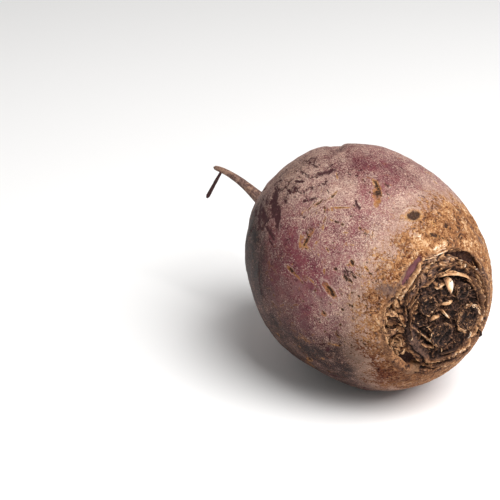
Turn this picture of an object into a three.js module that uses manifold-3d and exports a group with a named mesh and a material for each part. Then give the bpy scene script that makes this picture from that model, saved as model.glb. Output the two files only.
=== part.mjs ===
// A beetroot lying on its side: one grown root with a blunt, corky crown, a thin taproot and a side
// rootlet, and the dried leaf remains that stand in its crown.
//
// Millimetres. +X points out of the crown along the root's axis, -X towards the taproot, +Z is up.
// The origin is the middle of the small flat spot on which the root rests.
// A place on the root is given by its station (along the axis, 0 at the widest ring), its radius and
// its turn (an angle round the axis, 0 at the top, growing towards +Y).

import * as THREE from 'three'
import Module from 'manifold-3d'
import { mergeVertices } from 'three/addons/utils/BufferGeometryUtils.js'

// Body
const BODY_RADIUS = 45
const CROWN_REACH = 57.5
const TAIL_REACH = 51.5
const CROWN_FULLNESS = 2.15
const TAIL_FULLNESS = 1.65
const LOBES = { cos1: -0.016, sin1: -0.006, cos2: 0.026, sin2: -0.032 }
const FLAT_SPOT_DEPTH = 1.8
const FLAT_SPOT_MIDDLE = { station: 2.9, side: 2.2 }
const AXIS_HEIGHT = BODY_RADIUS * (1 - LOBES.cos1 + LOBES.cos2) - FLAT_SPOT_DEPTH

// Crown: a rough, slightly domed disc inside a low rim, with a ring-shaped furrow round it
const DISC_STATION = 53
const DISC_DOMING = 0.007
const DISC_RADIUS = 16
const CROWN_RADIUS = 24
const RIM = { radius: 16.8, height: 0.9, width: 1.1 }
const FURROWS = [
  { radius: 20, depth: 0.9, width: 1.8, turn: 180, spread: 400 },
  { radius: 19.6, depth: 2.8, width: 3, turn: 250, spread: 46 },
  { radius: 22.8, depth: 1.8, width: 1.8, turn: 30, spread: 26 },
]
const ROUND_STEPS = 60
const CROWN_ROWS = [0, 4, 8, 11.5, 14, 15.6, 16.8, 18, 19.2, 20.4, 21.6, 22.8, 24, 25.4]

// Taproot and its rootlet
const TAPROOT_START = -50
const TAPROOT_LENGTH = 52
const TAPROOT_RADIUS = 2.2
const TIP_RADIUS = 0.95
const COLLAR = { height: 6.5, fade: 12.8 }
const TAPROOT_TURN_IN = 0.25
const TAPROOT_PATH = new THREE.CubicBezierCurve3(
  new THREE.Vector3(-50, 0, 0),
  new THREE.Vector3(-61, -4.4, -4.9),
  new THREE.Vector3(-78.3, -3.7, 7.8),
  new THREE.Vector3(-100.5, -9.3, 5.8),
)
const TAPROOT_ROWS = [0.03, 0.06, 0.1, 0.15, 0.21, 0.29, 0.38, 0.48, 0.58, 0.68, 0.78, 0.88, 0.95, 0.975, 0.99]
const ROOTLET_RADIUS = 0.65
const ROOTLET_PATH = new THREE.QuadraticBezierCurve3(
  new THREE.Vector3(-94.9, -8.1, 5.9),
  new THREE.Vector3(-94.4, -11.2, 2.2),
  new THREE.Vector3(-92.6, -16.8, -4.1),
)

// Dried leaf remains, seated in the crown with a small clearance
const CLEARANCE = 0.3
const SEAT_DEPTH = 1.2
const STALK_HEIGHT = 2.2
const STALK_HOLLOW = 1.5
const STALK_BASES = [
  { name: 'stalk_base_right', radius: 11.2, turn: 105, rim: 5 },
  { name: 'stalk_base_low', radius: 6.7, turn: 189, rim: 4.6 },
  { name: 'stalk_base_left', radius: 9.9, turn: 311, rim: 3.5 },
  { name: 'stalk_base_top', radius: 11.4, turn: 43, rim: 3.1 },
]
// A place on a scale is [radius, turn, height over the disc]. These stand on edge, bowed to the middle one.
const SCALES = [
  { name: 'scale_upper', from: [5.4, 345, 0], middle: [5.1, 10, 0], to: [6.6, 31, 0], width: 2.4 },
  { name: 'scale_middle', from: [3.5, 341, 0], middle: [0.9, 20, 0], to: [2.7, 112, 0], width: 2.4 },
  { name: 'scale_lower', from: [5.9, 268, 0], middle: [4.6, 290, 0], to: [2.3, 292, 0], width: 2.2 },
  { name: 'scale_arched', from: [16, 346, 0], middle: [18.7, 18, 0], to: [16.2, 50, 0], width: 3.2 },
]
// These lie over the crown, flat side down.
const FLAT_SCALES = [
  { name: 'scale_pointed', from: [14.2, 0, -0.9], middle: [11.6, 2, 2.1], to: [8.2, 12, 0.9], width: 3.6 },
  { name: 'scale_outer', from: [19.6, 134, -1.6], middle: [18.2, 128, 1.2], to: [16.2, 126, 1], width: 3 },
]
const SCALE_THICKNESS = 0.8
const FLAKES = [
  { name: 'flake_upper', from: [22.6, 283, -2.6], middle: [20, 286, 0.6], to: [17.9, 279, -1.5], width: 3.4 },
  { name: 'flake_middle', from: [22.2, 264, -2.6], middle: [19.6, 262, 0.6], to: [17.5, 266, -1.7], width: 4.2 },
  { name: 'flake_low', from: [21.4, 242, -3], middle: [19, 243, 0.2], to: [17, 249, -1.9], width: 4 },
]

const skin = () => new THREE.MeshStandardMaterial({ color: 0x8c665c, roughness: 0.78, metalness: 0 })
const driedStalk = () => new THREE.MeshStandardMaterial({ color: 0x4a382f, roughness: 0.95, metalness: 0 })
const driedScale = () => new THREE.MeshStandardMaterial({ color: 0xc8a37c, roughness: 0.8, metalness: 0 })
const driedFlake = () => new THREE.MeshStandardMaterial({ color: 0x8f6a48, roughness: 0.88, metalness: 0 })

const radians = THREE.MathUtils.degToRad
const smoothstep = THREE.MathUtils.smoothstep
const lerp = THREE.MathUtils.lerp

/** How far two turns in degrees are apart, from 0 to 180. */
function turnApart(a, b) {
  const gap = THREE.MathUtils.euclideanModulo(a - b, 360)
  return Math.min(gap, 360 - gap)
}

/** The root's out-of-round factor at a turn in degrees. */
function lobe(turn) {
  const angle = radians(turn)
  return 1 + LOBES.cos1 * Math.cos(angle) + LOBES.sin1 * Math.sin(angle)
    + LOBES.cos2 * Math.cos(2 * angle) + LOBES.sin2 * Math.sin(2 * angle)
}

/** Station of the crown's surface: a dome outside, a flatter disc inside, a rim, less the furrows. */
function crownStation(radius, turn) {
  const dome = CROWN_REACH * (1 - (radius / BODY_RADIUS) ** 2) ** (1 / CROWN_FULLNESS)
  const disc = DISC_STATION - DISC_DOMING * radius ** 2
  const rim = RIM.height * Math.exp(-(((radius - RIM.radius) / RIM.width) ** 2))
  let station = lerp(disc, dome, smoothstep(radius, DISC_RADIUS, CROWN_RADIUS)) + rim
  for (const furrow of FURROWS) {
    const across = Math.exp(-(((radius - furrow.radius) / furrow.width) ** 4))
    const along = Math.exp(-((turnApart(turn, furrow.turn) / furrow.spread) ** 4))
    station -= furrow.depth * across * along
  }
  return station
}

/** Radius of the body at a station on its tail side, less the taproot. */
function tailBodyRadius(station) {
  const share = Math.min(1, Math.abs(station / TAIL_REACH))
  return BODY_RADIUS * Math.sqrt(1 - share ** TAIL_FULLNESS)
}

/** Radius of the taproot: an even taper, with a collar that flares into the body. */
function taprootRadius(station) {
  const share = THREE.MathUtils.clamp((TAPROOT_START - station) / TAPROOT_LENGTH, 0, 1)
  const past = Math.max(0, -TAIL_REACH - station)
  return lerp(TAPROOT_RADIUS, TIP_RADIUS, share) + COLLAR.height * Math.exp(-past / COLLAR.fade)
}

/** The profile as points (radius, station), from the middle of the crown to the taproot's tip. */
function rootProfile() {
  const points = CROWN_ROWS.map((radius) => new THREE.Vector2(radius, crownStation(radius, 0)))
  const shoulder = Math.asin(CROWN_ROWS.at(-1) / BODY_RADIUS)
  const rows = 9
  for (let row = 1; row <= rows; row += 1) {
    const angle = lerp(shoulder, Math.PI / 2, row / rows)
    const station = CROWN_REACH * Math.cos(angle) ** (2 / CROWN_FULLNESS)
    points.push(new THREE.Vector2(BODY_RADIUS * Math.sin(angle), row === rows ? 0 : station))
  }
  for (let angle = 98; angle <= 168; angle += 7) {
    const station = -TAIL_REACH * Math.abs(Math.cos(radians(angle))) ** (2 / TAIL_FULLNESS)
    const radius = Math.hypot(tailBodyRadius(station) ** 2, taprootRadius(station) ** 2) ** 0.5
    points.push(new THREE.Vector2(radius, station))
  }
  for (const share of TAPROOT_ROWS) {
    const station = TAPROOT_START - share * TAPROOT_LENGTH
    const rounding = Math.sqrt(1 - smoothstep(share, 0.955, 1) ** 2)
    const radius = Math.hypot(tailBodyRadius(station) ** 2, taprootRadius(station) ** 2) ** 0.5
    points.push(new THREE.Vector2(radius * rounding, station))
  }
  points.push(new THREE.Vector2(0, TAPROOT_START - TAPROOT_LENGTH))
  return points
}

/** Middle of the root and its two cross directions at a station: straight, then along the taproot,
 * whose sections turn square to its curve over the first part of its length. */
function spine(station) {
  const share = (TAPROOT_START - station) / TAPROOT_LENGTH
  if (share <= 0) {
    const up = new THREE.Vector3(0, 0, 1)
    return { middle: new THREE.Vector3(station, 0, 0), up, side: new THREE.Vector3(0, 1, 0) }
  }
  const along = new THREE.Vector3(-1, 0, 0)
  along.lerp(TAPROOT_PATH.getTangent(share), smoothstep(share, 0, TAPROOT_TURN_IN)).normalize()
  const up = new THREE.Vector3(0, 0, 1).addScaledVector(along, -along.z).normalize()
  return { middle: TAPROOT_PATH.getPoint(share), up, side: new THREE.Vector3().crossVectors(along, up) }
}

/** The grown root as one turned form: lobed, furrowed at the crown and bent along the taproot. */
function rootGeometry() {
  const geometry = new THREE.LatheGeometry(rootProfile().reverse(), ROUND_STEPS)
  const position = geometry.attributes.position
  const turnShare = geometry.attributes.uv
  for (let i = 0; i < position.count; i += 1) {
    const turn = -360 * turnShare.getX(i)
    let station = position.getY(i)
    let radius = Math.hypot(position.getX(i), position.getZ(i))
    if (station > 0 && radius <= CROWN_ROWS.at(-1) + 0.01) station = crownStation(radius, turn)
    const roundness = smoothstep(-station, TAIL_REACH - 4, TAIL_REACH + 10)
    radius *= lerp(lobe(turn), 1, roundness)
    const { middle, up, side } = spine(station)
    middle.addScaledVector(up, radius * Math.cos(radians(turn)))
    middle.addScaledVector(side, radius * Math.sin(radians(turn)))
    position.setXYZ(i, middle.x, middle.y, middle.z)
  }
  return geometry
}

/** A thin root along a curve, a little thinner where it leaves the taproot: a capped cylinder, bent vertex by vertex. */
function rootletGeometry(path, radius) {
  const geometry = new THREE.CylinderGeometry(radius, radius * 0.7, 1, 10, 8)
  const position = geometry.attributes.position
  for (let i = 0; i < position.count; i += 1) {
    const share = position.getY(i) + 0.5
    const along = path.getTangent(share)
    const side = new THREE.Vector3(1, 0, 0).addScaledVector(along, -along.x).normalize()
    const up = new THREE.Vector3().crossVectors(side, along)
    const point = path.getPoint(share)
    point.addScaledVector(side, position.getX(i)).addScaledVector(up, position.getZ(i))
    position.setXYZ(i, point.x, point.y, point.z)
  }
  return geometry
}

/** Profile of a dried stalk base, a flared cup; with growth it is the plain plug that seats it. */
function stalkBaseGeometry(rim, growth) {
  const foot = 0.84 * rim
  const bottom = new THREE.Vector2(foot + growth, -SEAT_DEPTH - growth)
  const profile = [new THREE.Vector2(0, -SEAT_DEPTH - growth), bottom]
  if (growth > 0) {
    profile.push(new THREE.Vector2(rim + growth, STALK_HEIGHT + growth))
    profile.push(new THREE.Vector2(0, STALK_HEIGHT + growth))
  } else {
    profile.push(new THREE.Vector2(lerp(foot, rim, 0.4), 0.3))
    profile.push(new THREE.Vector2(rim, STALK_HEIGHT - 0.3))
    profile.push(new THREE.Vector2(rim - 0.35, STALK_HEIGHT))
    profile.push(new THREE.Vector2(rim - 0.9, STALK_HEIGHT - 0.2))
    profile.push(new THREE.Vector2(0.6 * rim, STALK_HEIGHT - STALK_HOLLOW))
    profile.push(new THREE.Vector2(0, STALK_HEIGHT - STALK_HOLLOW - 0.2))
  }
  return new THREE.LatheGeometry(profile, 20)
}

/** A point over the crown's disc, from [radius, turn, height]. */
function overDisc([radius, turn, height]) {
  const angle = radians(turn)
  const station = DISC_STATION - DISC_DOMING * radius ** 2 + height
  return new THREE.Vector3(station, radius * Math.sin(angle), radius * Math.cos(angle))
}

/**
 * A dried scale or flake: a thin blade along a bowed path, pointed at its far end. It stands on edge in
 * the disc, or lies flat over it.
 */
function bladeGeometry(spec, lies, growth) {
  const path = new THREE.QuadraticBezierCurve3(...[spec.from, spec.middle, spec.to].map(overDisc))
  const geometry = new THREE.BoxGeometry(1, 1, 1, 8, lies ? 2 : 1, 1)
  const position = geometry.attributes.position
  const outward = new THREE.Vector3(1, 0, 0)
  const middle = path.getPoint(0.5)
  const tangential = new THREE.Vector3(0, middle.z, -middle.y).normalize()
  for (let i = 0; i < position.count; i += 1) {
    const share = position.getX(i) + 0.5
    const along = path.getTangent(share)
    const across = (lies ? tangential : outward).clone()
    across.addScaledVector(along, -across.dot(along)).normalize()
    const face = new THREE.Vector3().crossVectors(along, across)
    const taper = lies ? 1 - 0.85 * share ** 1.5 : 1 - 0.5 * (2 * share - 1) ** 2
    const width = spec.width * taper + 2 * growth
    const cupping = lies ? 0.9 * position.getY(i) ** 2 : 0
    const point = path.getPoint(share)
    point.addScaledVector(along, growth * (2 * share - 1))
    point.addScaledVector(across, position.getY(i) * width)
    point.addScaledVector(face, position.getZ(i) * (SCALE_THICKNESS + 2 * growth) + cupping)
    position.setXYZ(i, point.x, point.y, point.z)
  }
  return geometry
}

const wasm = await Module()
wasm.setup()

/** A closed geometry as a solid: vertices merged by place, and collapsed triangles left out. */
function toSolid(geometry) {
  const bare = geometry.clone()
  bare.deleteAttribute('normal')
  bare.deleteAttribute('uv')
  const merged = mergeVertices(bare, 1e-4)
  const corners = merged.index.array
  const kept = []
  for (let i = 0; i < corners.length; i += 3) {
    const [a, b, c] = [corners[i], corners[i + 1], corners[i + 2]]
    if (a !== b && b !== c && c !== a) kept.push(a, b, c)
  }
  const vertProperties = new Float32Array(merged.attributes.position.array)
  return new wasm.Manifold(new wasm.Mesh({ numProp: 3, vertProperties, triVerts: new Uint32Array(kept) }))
}

/** A solid back as a geometry. */
function toGeometry(solid) {
  const { vertProperties, triVerts } = solid.getMesh()
  const geometry = new THREE.BufferGeometry()
  geometry.setAttribute('position', new THREE.BufferAttribute(vertProperties, 3))
  geometry.setIndex(new THREE.BufferAttribute(triVerts, 1))
  geometry.computeVertexNormals()
  return geometry
}

/** Places a stalk base in the crown, with its mouth facing out. */
function seatStalkBase(object, spec) {
  object.position.copy(overDisc([spec.radius, spec.turn, 0]))
  object.rotation.z = -Math.PI / 2
}

/** The geometry of a spec's seat, a little larger than the piece, in the crown's own frame. */
function stalkSeat(spec) {
  const seat = new THREE.Object3D()
  seatStalkBase(seat, spec)
  seat.updateMatrix()
  return stalkBaseGeometry(spec.rim, CLEARANCE).applyMatrix4(seat.matrix)
}

/** The whole root: body, crown, taproot and rootlet in one, cut flat below and cut out for its scales. */
function buildRootGeometry() {
  let solid = toSolid(rootGeometry()).add(toSolid(rootletGeometry(ROOTLET_PATH, ROOTLET_RADIUS)))
  const floorBlock = new THREE.BoxGeometry(300, 200, 100).translate(0, 0, -AXIS_HEIGHT - 50)
  const cuts = [floorBlock, ...STALK_BASES.map(stalkSeat)]
  for (const spec of SCALES) cuts.push(bladeGeometry(spec, false, CLEARANCE))
  for (const spec of [...FLAT_SCALES, ...FLAKES]) cuts.push(bladeGeometry(spec, true, CLEARANCE))
  for (const cut of cuts) solid = solid.subtract(toSolid(cut))
  return toGeometry(solid)
}

const beetroot = new THREE.Group()
beetroot.position.set(-FLAT_SPOT_MIDDLE.station, -FLAT_SPOT_MIDDLE.side, AXIS_HEIGHT)

/** Adds a piece to the beetroot under its name. */
function addPiece(name, geometry, material) {
  const piece = new THREE.Mesh(geometry, material)
  piece.name = name
  beetroot.add(piece)
  return piece
}

addPiece('root', buildRootGeometry(), skin())
for (const spec of STALK_BASES) {
  seatStalkBase(addPiece(spec.name, stalkBaseGeometry(spec.rim, 0), driedStalk()), spec)
}
for (const spec of SCALES) addPiece(spec.name, bladeGeometry(spec, false, 0), driedScale())
for (const spec of FLAT_SCALES) addPiece(spec.name, bladeGeometry(spec, true, 0), driedScale())
for (const spec of FLAKES) addPiece(spec.name, bladeGeometry(spec, true, 0), driedFlake())

const group = new THREE.Group()
group.add(beetroot)

export default group
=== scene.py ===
"""A beetroot lying on its side: one grown root with a corky crown, and the dried leaf remains in it."""

import math

import bpy
import numpy as np
from mathutils import Matrix, Vector


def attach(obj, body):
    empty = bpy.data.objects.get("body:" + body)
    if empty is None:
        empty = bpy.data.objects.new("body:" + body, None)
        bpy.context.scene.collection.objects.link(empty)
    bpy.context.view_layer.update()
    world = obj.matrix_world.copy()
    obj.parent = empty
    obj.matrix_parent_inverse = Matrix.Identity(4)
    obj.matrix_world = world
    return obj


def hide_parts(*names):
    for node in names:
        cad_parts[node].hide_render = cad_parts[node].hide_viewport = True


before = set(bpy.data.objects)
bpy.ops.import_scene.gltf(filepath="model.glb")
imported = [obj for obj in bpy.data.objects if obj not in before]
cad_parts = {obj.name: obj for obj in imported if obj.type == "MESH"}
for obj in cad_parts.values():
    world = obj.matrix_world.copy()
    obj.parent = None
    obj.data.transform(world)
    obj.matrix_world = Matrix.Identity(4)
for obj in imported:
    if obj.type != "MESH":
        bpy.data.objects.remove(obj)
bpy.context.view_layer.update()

bl_info = {
    "name": "Beetroot",
    "version": (1, 0, 0),
    "blender": (4, 5, 0),
    "location": "3D View > Sidebar > Beetroot",
    "description": "Builds a beetroot with its corky crown, dried leaf remains and a plain studio",
    "category": "Add Mesh",
}

# Lengths are in millimetres and turns in degrees unless a name says otherwise. A place on the root is
# its station (along the axis towards the crown, 0 at the widest ring), its radius and its turn (round
# the axis, 0 at the top). The values down to the rootlet's radius are those of the solid part.
MM = 0.001
CROWN_FULLNESS = 2.15
TAIL_FULLNESS = 1.65
LOBES = (-0.016, -0.006, 0.026, -0.032)
FLAT_SPOT_DEPTH = 1.8
FLAT_SPOT_MIDDLE = (2.9, 2.2)
DISC_STATION = 53.0
DISC_DOMING = 0.007
DISC_RADIUS = 16.0
CROWN_RADIUS = 24.0
SHOULDER_RADIUS = 25.4
RIM = (16.8, 0.9, 1.1)
FURROWS = ((20.0, 0.9, 1.8, 180, 400), (19.6, 2.8, 3.0, 250, 46), (22.8, 1.8, 1.8, 30, 26))
TAPROOT_START = -50.0
TAPROOT_RADIUS = 2.2
TIP_RADIUS = 0.95
COLLAR_HEIGHT = 6.5
COLLAR_FADE = 12.8
TAPROOT_TURN_IN = 0.25
TAPROOT_PATH = ((-50, 0, 0), (-61, -4.4, -4.9), (-78.3, -3.7, 7.8), (-100.5, -9.3, 5.8))
ROOTLET_PATH = ((-94.9, -8.1, 5.9), (-94.4, -11.2, 2.2), (-92.6, -16.8, -4.1))
ROOTLET_RADIUS = 0.65

# The rootlet's tint is all painted shade (1.9), which darkens it to near the crevice colour
ROOTLET_VALUES = {"zone": (-5, 0, 0.3), "crown_finish": (0, 0, 0), "mark_place": (3, 3, 0),
                  "mark_look": (0, 0, 0), "tint": (0, 0, 1.9), "tail": (1, 0, 0)}

# The root's mesh: columns round the axis, and rings over the crown, its cork, the body and the taproot
COLUMNS = 392
RINGS = (88, 46, 80, 35)
CORK_RADIUS = 40
PROFILE_POINTS = 400
BODY_END = 168
# The meshes of the small parts: steps along and columns round
ROOTLET_GRID = (26, 20)
STALK_GRID = (46, 128)
SCALE_GRID = (48, 28)
FLAKE_GRID = (56, 40)
LIP_GRID = (110, 14)
SHRED_GRID = (8, 6)

AXIS = np.array([1.0, 0, 0])
# Radii over which the crown's tissue, its plates and its relief give way to the cork
CROWN_EDGE = (23.8, 25.4)
PLATES_EDGE = (23.4, 24.6)
RELIEF_EDGE = (24.6, 26.6)
CROWN_REACH = 27
# Turns over which a line round the crown fades at its ends
LINE_FADE = 7
# How far past its edge a mark is felt, and how far off the skin
MARK_REACH = 4.5
MARK_DEPTH = 5
# Radius that turns a small mark's length round the root into a turn
MEAN_RADIUS = 42
# Softness of the surface where it meets the floor
REST_SOFTNESS = 0.35

# Cork boundary, the station at which skin gives way to cork at each turn
CORK_EDGE = (
    (0, 38.5), (13, 34.1), (29, 31.3), (50, 27), (90, 28), (120, 33), (150, 38), (180, 40), (206, 39.8),
    (242, 45.3), (270, 46.2), (285, 44.9), (299, 45.6), (309, 45.5), (326, 44.8), (336, 43.3),
    (351, 40.8),
)
# Edge of the crown's dark disc, as radius at each turn
DISC_EDGE = (
    (0, 15.3), (20, 15.8), (40, 15.6), (64, 15.8), (82, 16.6), (100, 17.3), (123, 18.4), (145, 18.6),
    (167, 17.4), (190, 16.6), (210, 15), (230, 14), (250, 13.4), (270, 13.3), (297, 14.9), (325, 16.6),
    (340, 16.4),
)
# Edges of the crescent hollow, and of the hollow at the crown's top that runs on down its right side
CRESCENT = (
    ((196, 20.2), (209, 18.7), (224, 17.4), (238, 16.4), (253, 16.2), (270, 15.6), (285, 16.4),
     (300, 19.4)),
    ((196, 20.4), (203, 20.9), (215, 21.1), (226, 20.8), (237, 21), (256, 22.2), (268, 22.7), (279, 23.3),
     (289, 23.8), (297, 22.2), (300, 21.2)),
)
TOP_HOLLOW = (
    ((0, 22.6), (8, 21.4), (22, 21), (34, 20.8), (44, 21.4), (54, 22), (75, 21), (95, 21.6), (112, 21.9),
     (126, 22)),
    ((0, 22.8), (8, 23.3), (22, 23.2), (32, 24.2), (42, 23.4), (54, 22.8), (75, 21.9), (95, 22.6),
     (112, 22.9), (126, 22.6)),
)
# Plates of old leaf bases in the crescent: radius, turn, half length, half width, heading off the
# ring, tone
PLATES = (
    (19.2, 283, 2.2, 1.4, 10, 0.4), (18.4, 287, 1.6, 1, 20, 0.52), (19.9, 294, 2.2, 0.9, 50, 0.66),
    (20.8, 275, 3, 0.9, 21, 0.56), (18.8, 270, 1.6, 1, 60, 0.42), (16.8, 277, 1.7, 0.6, 35, 0.64),
    (16, 270, 1.5, 0.5, 30, 0.6), (16.8, 261, 1.5, 0.7, 10, 0.56), (18.8, 258, 1.7, 1, 50, 0.44),
    (20.2, 252, 2, 1.1, -20, 0.62), (18.4, 246, 2.2, 0.5, 70, 0.72), (17.6, 250, 1.4, 0.6, -30, 0.48),
    (19.4, 240, 1.6, 0.8, 60, 0.56), (17.6, 238, 1.6, 0.7, 20, 0.5), (18.6, 231, 1.7, 0.8, 55, 0.46),
    (20, 230, 1.6, 0.5, -10, 0.7), (17.4, 225, 1.8, 0.7, 20, 0.52), (12.6, 350, 2.6, 0.7, -55, 0.52),
    (21.4, 52, 0.4, 0.3, 0, 1), (20.4, 341, 1.8, 1, 20, 0.6), (19.8, 3, 2.2, 0.8, 0, 0.58),
    (24.9, 340, 1.6, 0.6, -30, 0.8),
)
# Seeded plates round the crown: count, radii, turns, half lengths, half widths, spread of heading,
# tones, share of grey ones
PLATE_FIELDS = (
    (60, (16, 24.6), (296, 412), (2, 4.6), (0.5, 1.4), 13, (0.34, 0.7), 0.25),
    (26, (16.5, 24), (296, 412), (0.8, 1.8), (0.4, 0.9), 40, (0.3, 0.74), 0.2),
    (90, (17.5, 24.6), (48, 205), (1.4, 4.2), (0.3, 0.8), 10, (0.26, 0.58), 0.25),
    (40, (12.4, 15.6), (200, 300), (1.2, 3), (0.3, 0.6), 8, (0.24, 0.46), 0.3),
)
# Paler and darker patches of the cork: station, first and last turn, half width, change of tone
CORK_TONES = (
    (44.4, 345.5, 349, 1.6, 0.16), (48, 361, 368, 1.2, 0.07), (44.6, 14, 20, 2.4, -0.1),
    (43.2, 17, 19.5, 3.6, -0.13), (41.8, 24, 27, 3.2, -0.12), (42, 20.6, 23, 3.2, 0.12),
    (40.6, 31, 34, 3, 0.1), (38.4, 36, 40, 3, -0.12), (49.4, 355, 9, 0.45, 0.5), (48.4, 351, 1, 0.5, 0.3),
    (48.2, 2, 8, 0.5, 0.25), (44.4, 343, 351, 2.2, 0.13), (46.6, 342, 350, 1.2, 0.07),
    (46.6, 357, 363, 0.8, -0.2), (45.6, 1, 11, 0.5, -0.16), (47.4, 8, 16, 0.5, -0.16),
    (42.4, 11, 15, 1.2, -0.2), (43.2, 34, 42, 1.2, -0.12), (40.2, 22, 30, 2.6, -0.1),
    (41.5, 36, 48, 2, 0.1), (45.8, 26, 38, 1, 0.08), (44, 318, 330, 1.6, 0.1),
    (47.6, 322, 334, 0.8, -0.1), (46.6, 300, 312, 1.2, -0.12), (46, 268, 282, 1.2, -0.1),
)
POCKETS = ((22.3, 289, 1.7, 1.2, -20), (21.7, 265, 1.5, 0.8, 0))
# Lines round the crown: (turn, radius) along it, width on the inner and on the outer side, height, tone
CROWN_LINES = (
    (((350, 15), (4, 14.6), (17, 14.8), (39, 14.6), (58, 14.6), (76, 15)), 0.5, 0.5, -1, -0.3),
    (((340, 17.8), (352, 17.9), (10, 18), (24, 18), (37, 17.8), (62, 17.4)), 0.7, 0.5, -1.7, -0.45),
    (((10, 21.3), (22, 20.6), (33, 20), (52, 19.6), (70, 19.4), (97, 20.2), (118, 20)), 0.3, 0.7, 0.7, 0.22),
    (((44, 18.2), (60, 17.6), (80, 17.3), (100, 17.9), (116, 18.8)), 0.4, 0.4, -0.8, -0.35),
    (((330, 21.4), (320, 20.5), (310, 19.9), (300, 19.3), (292, 18.6)), 0.4, 0.8, 0.8, 0.22),
    (((334, 20.2), (322, 19), (308, 18.4), (296, 17.8), (285, 17.2)), 0.45, 0.45, -0.9, -0.36),
    (((308, 19), (300, 17.7), (287, 15.1), (278, 14.5), (270, 14.7), (253, 15.6), (238, 15.8),
      (224, 16.1), (209, 16.6), (194, 19.1)), 0.55, 0.6, -1.6, -0.55),
    (((206, 17), (190, 18.2), (178, 18.2), (167, 18.5), (155, 19.6), (146, 20.9), (132, 21.6)),
     0.3, 0.8, 1, 0.36),
    (((205, 18.8), (192, 19.6), (176, 19.6), (160, 20.6), (146, 22)), 0.4, 0.5, -0.9, -0.4),
    (((200, 16), (184, 17), (166, 17.1), (148, 18.6), (134, 20)), 0.4, 0.4, -0.7, -0.35),
    (((205, 20.9), (190, 21.2), (171, 21.2), (154, 22.6), (140, 23.4)), 0.35, 0.5, -0.7, -0.34),
    (((200, 22.2), (184, 22.4), (166, 22.6), (150, 24)), 0.4, 0.9, 0.5, 0.16),
    (((320, 14.6), (300, 13), (285, 12.2), (270, 12)), 0.35, 0.9, 0.7, 0.26),
    (((352, 19.4), (4, 19.2), (14, 18.9)), 0.5, 0.8, 0.7, 0.18),
    (((338, 18.9), (346, 20.2), (352, 21.6)), 0.4, 0.4, -0.7, -0.3),
)
# Smooth grey patches of the crown: radius, turn, size, strength
GREY_PATCHES = (
    (20.1, 349, 1.5, 0.9), (18.7, 345, 1.1, 0.8), (19.8, 318, 1.4, 0.7), (17.8, 310, 1.5, 0.7),
    (16.6, 301, 1.3, 0.6), (17.4, 332, 1.2, 0.9), (20.2, 101, 1.4, 0.8), (14.6, 222, 1.6, 0.4),
    (16.3, 203, 1.8, 0.6), (17.3, 178, 1.5, 0.5), (9.9, 4, 1.3, 0.6), (10.1, 54, 1.9, 0.6),
    (12.3, 322, 1.6, 0.5), (9.3, 298, 1.5, 0.35), (10.6, 262, 1.6, 0.4),
)
WOUND = ((343, 25.6), (338.7, 25.0), (328.6, 23.8), (321, 22.9), (309, 22.7))
WOUND_HALF_WIDTH = 1.35
WOUND_MIDDLE = 327
GREY_STRIP = ((331, 25.4), (323, 24.5), (313, 24.2), (307, 24))
DIAGONAL_RIDGE = ((12.9, 264), (11.2, 193))

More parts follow.
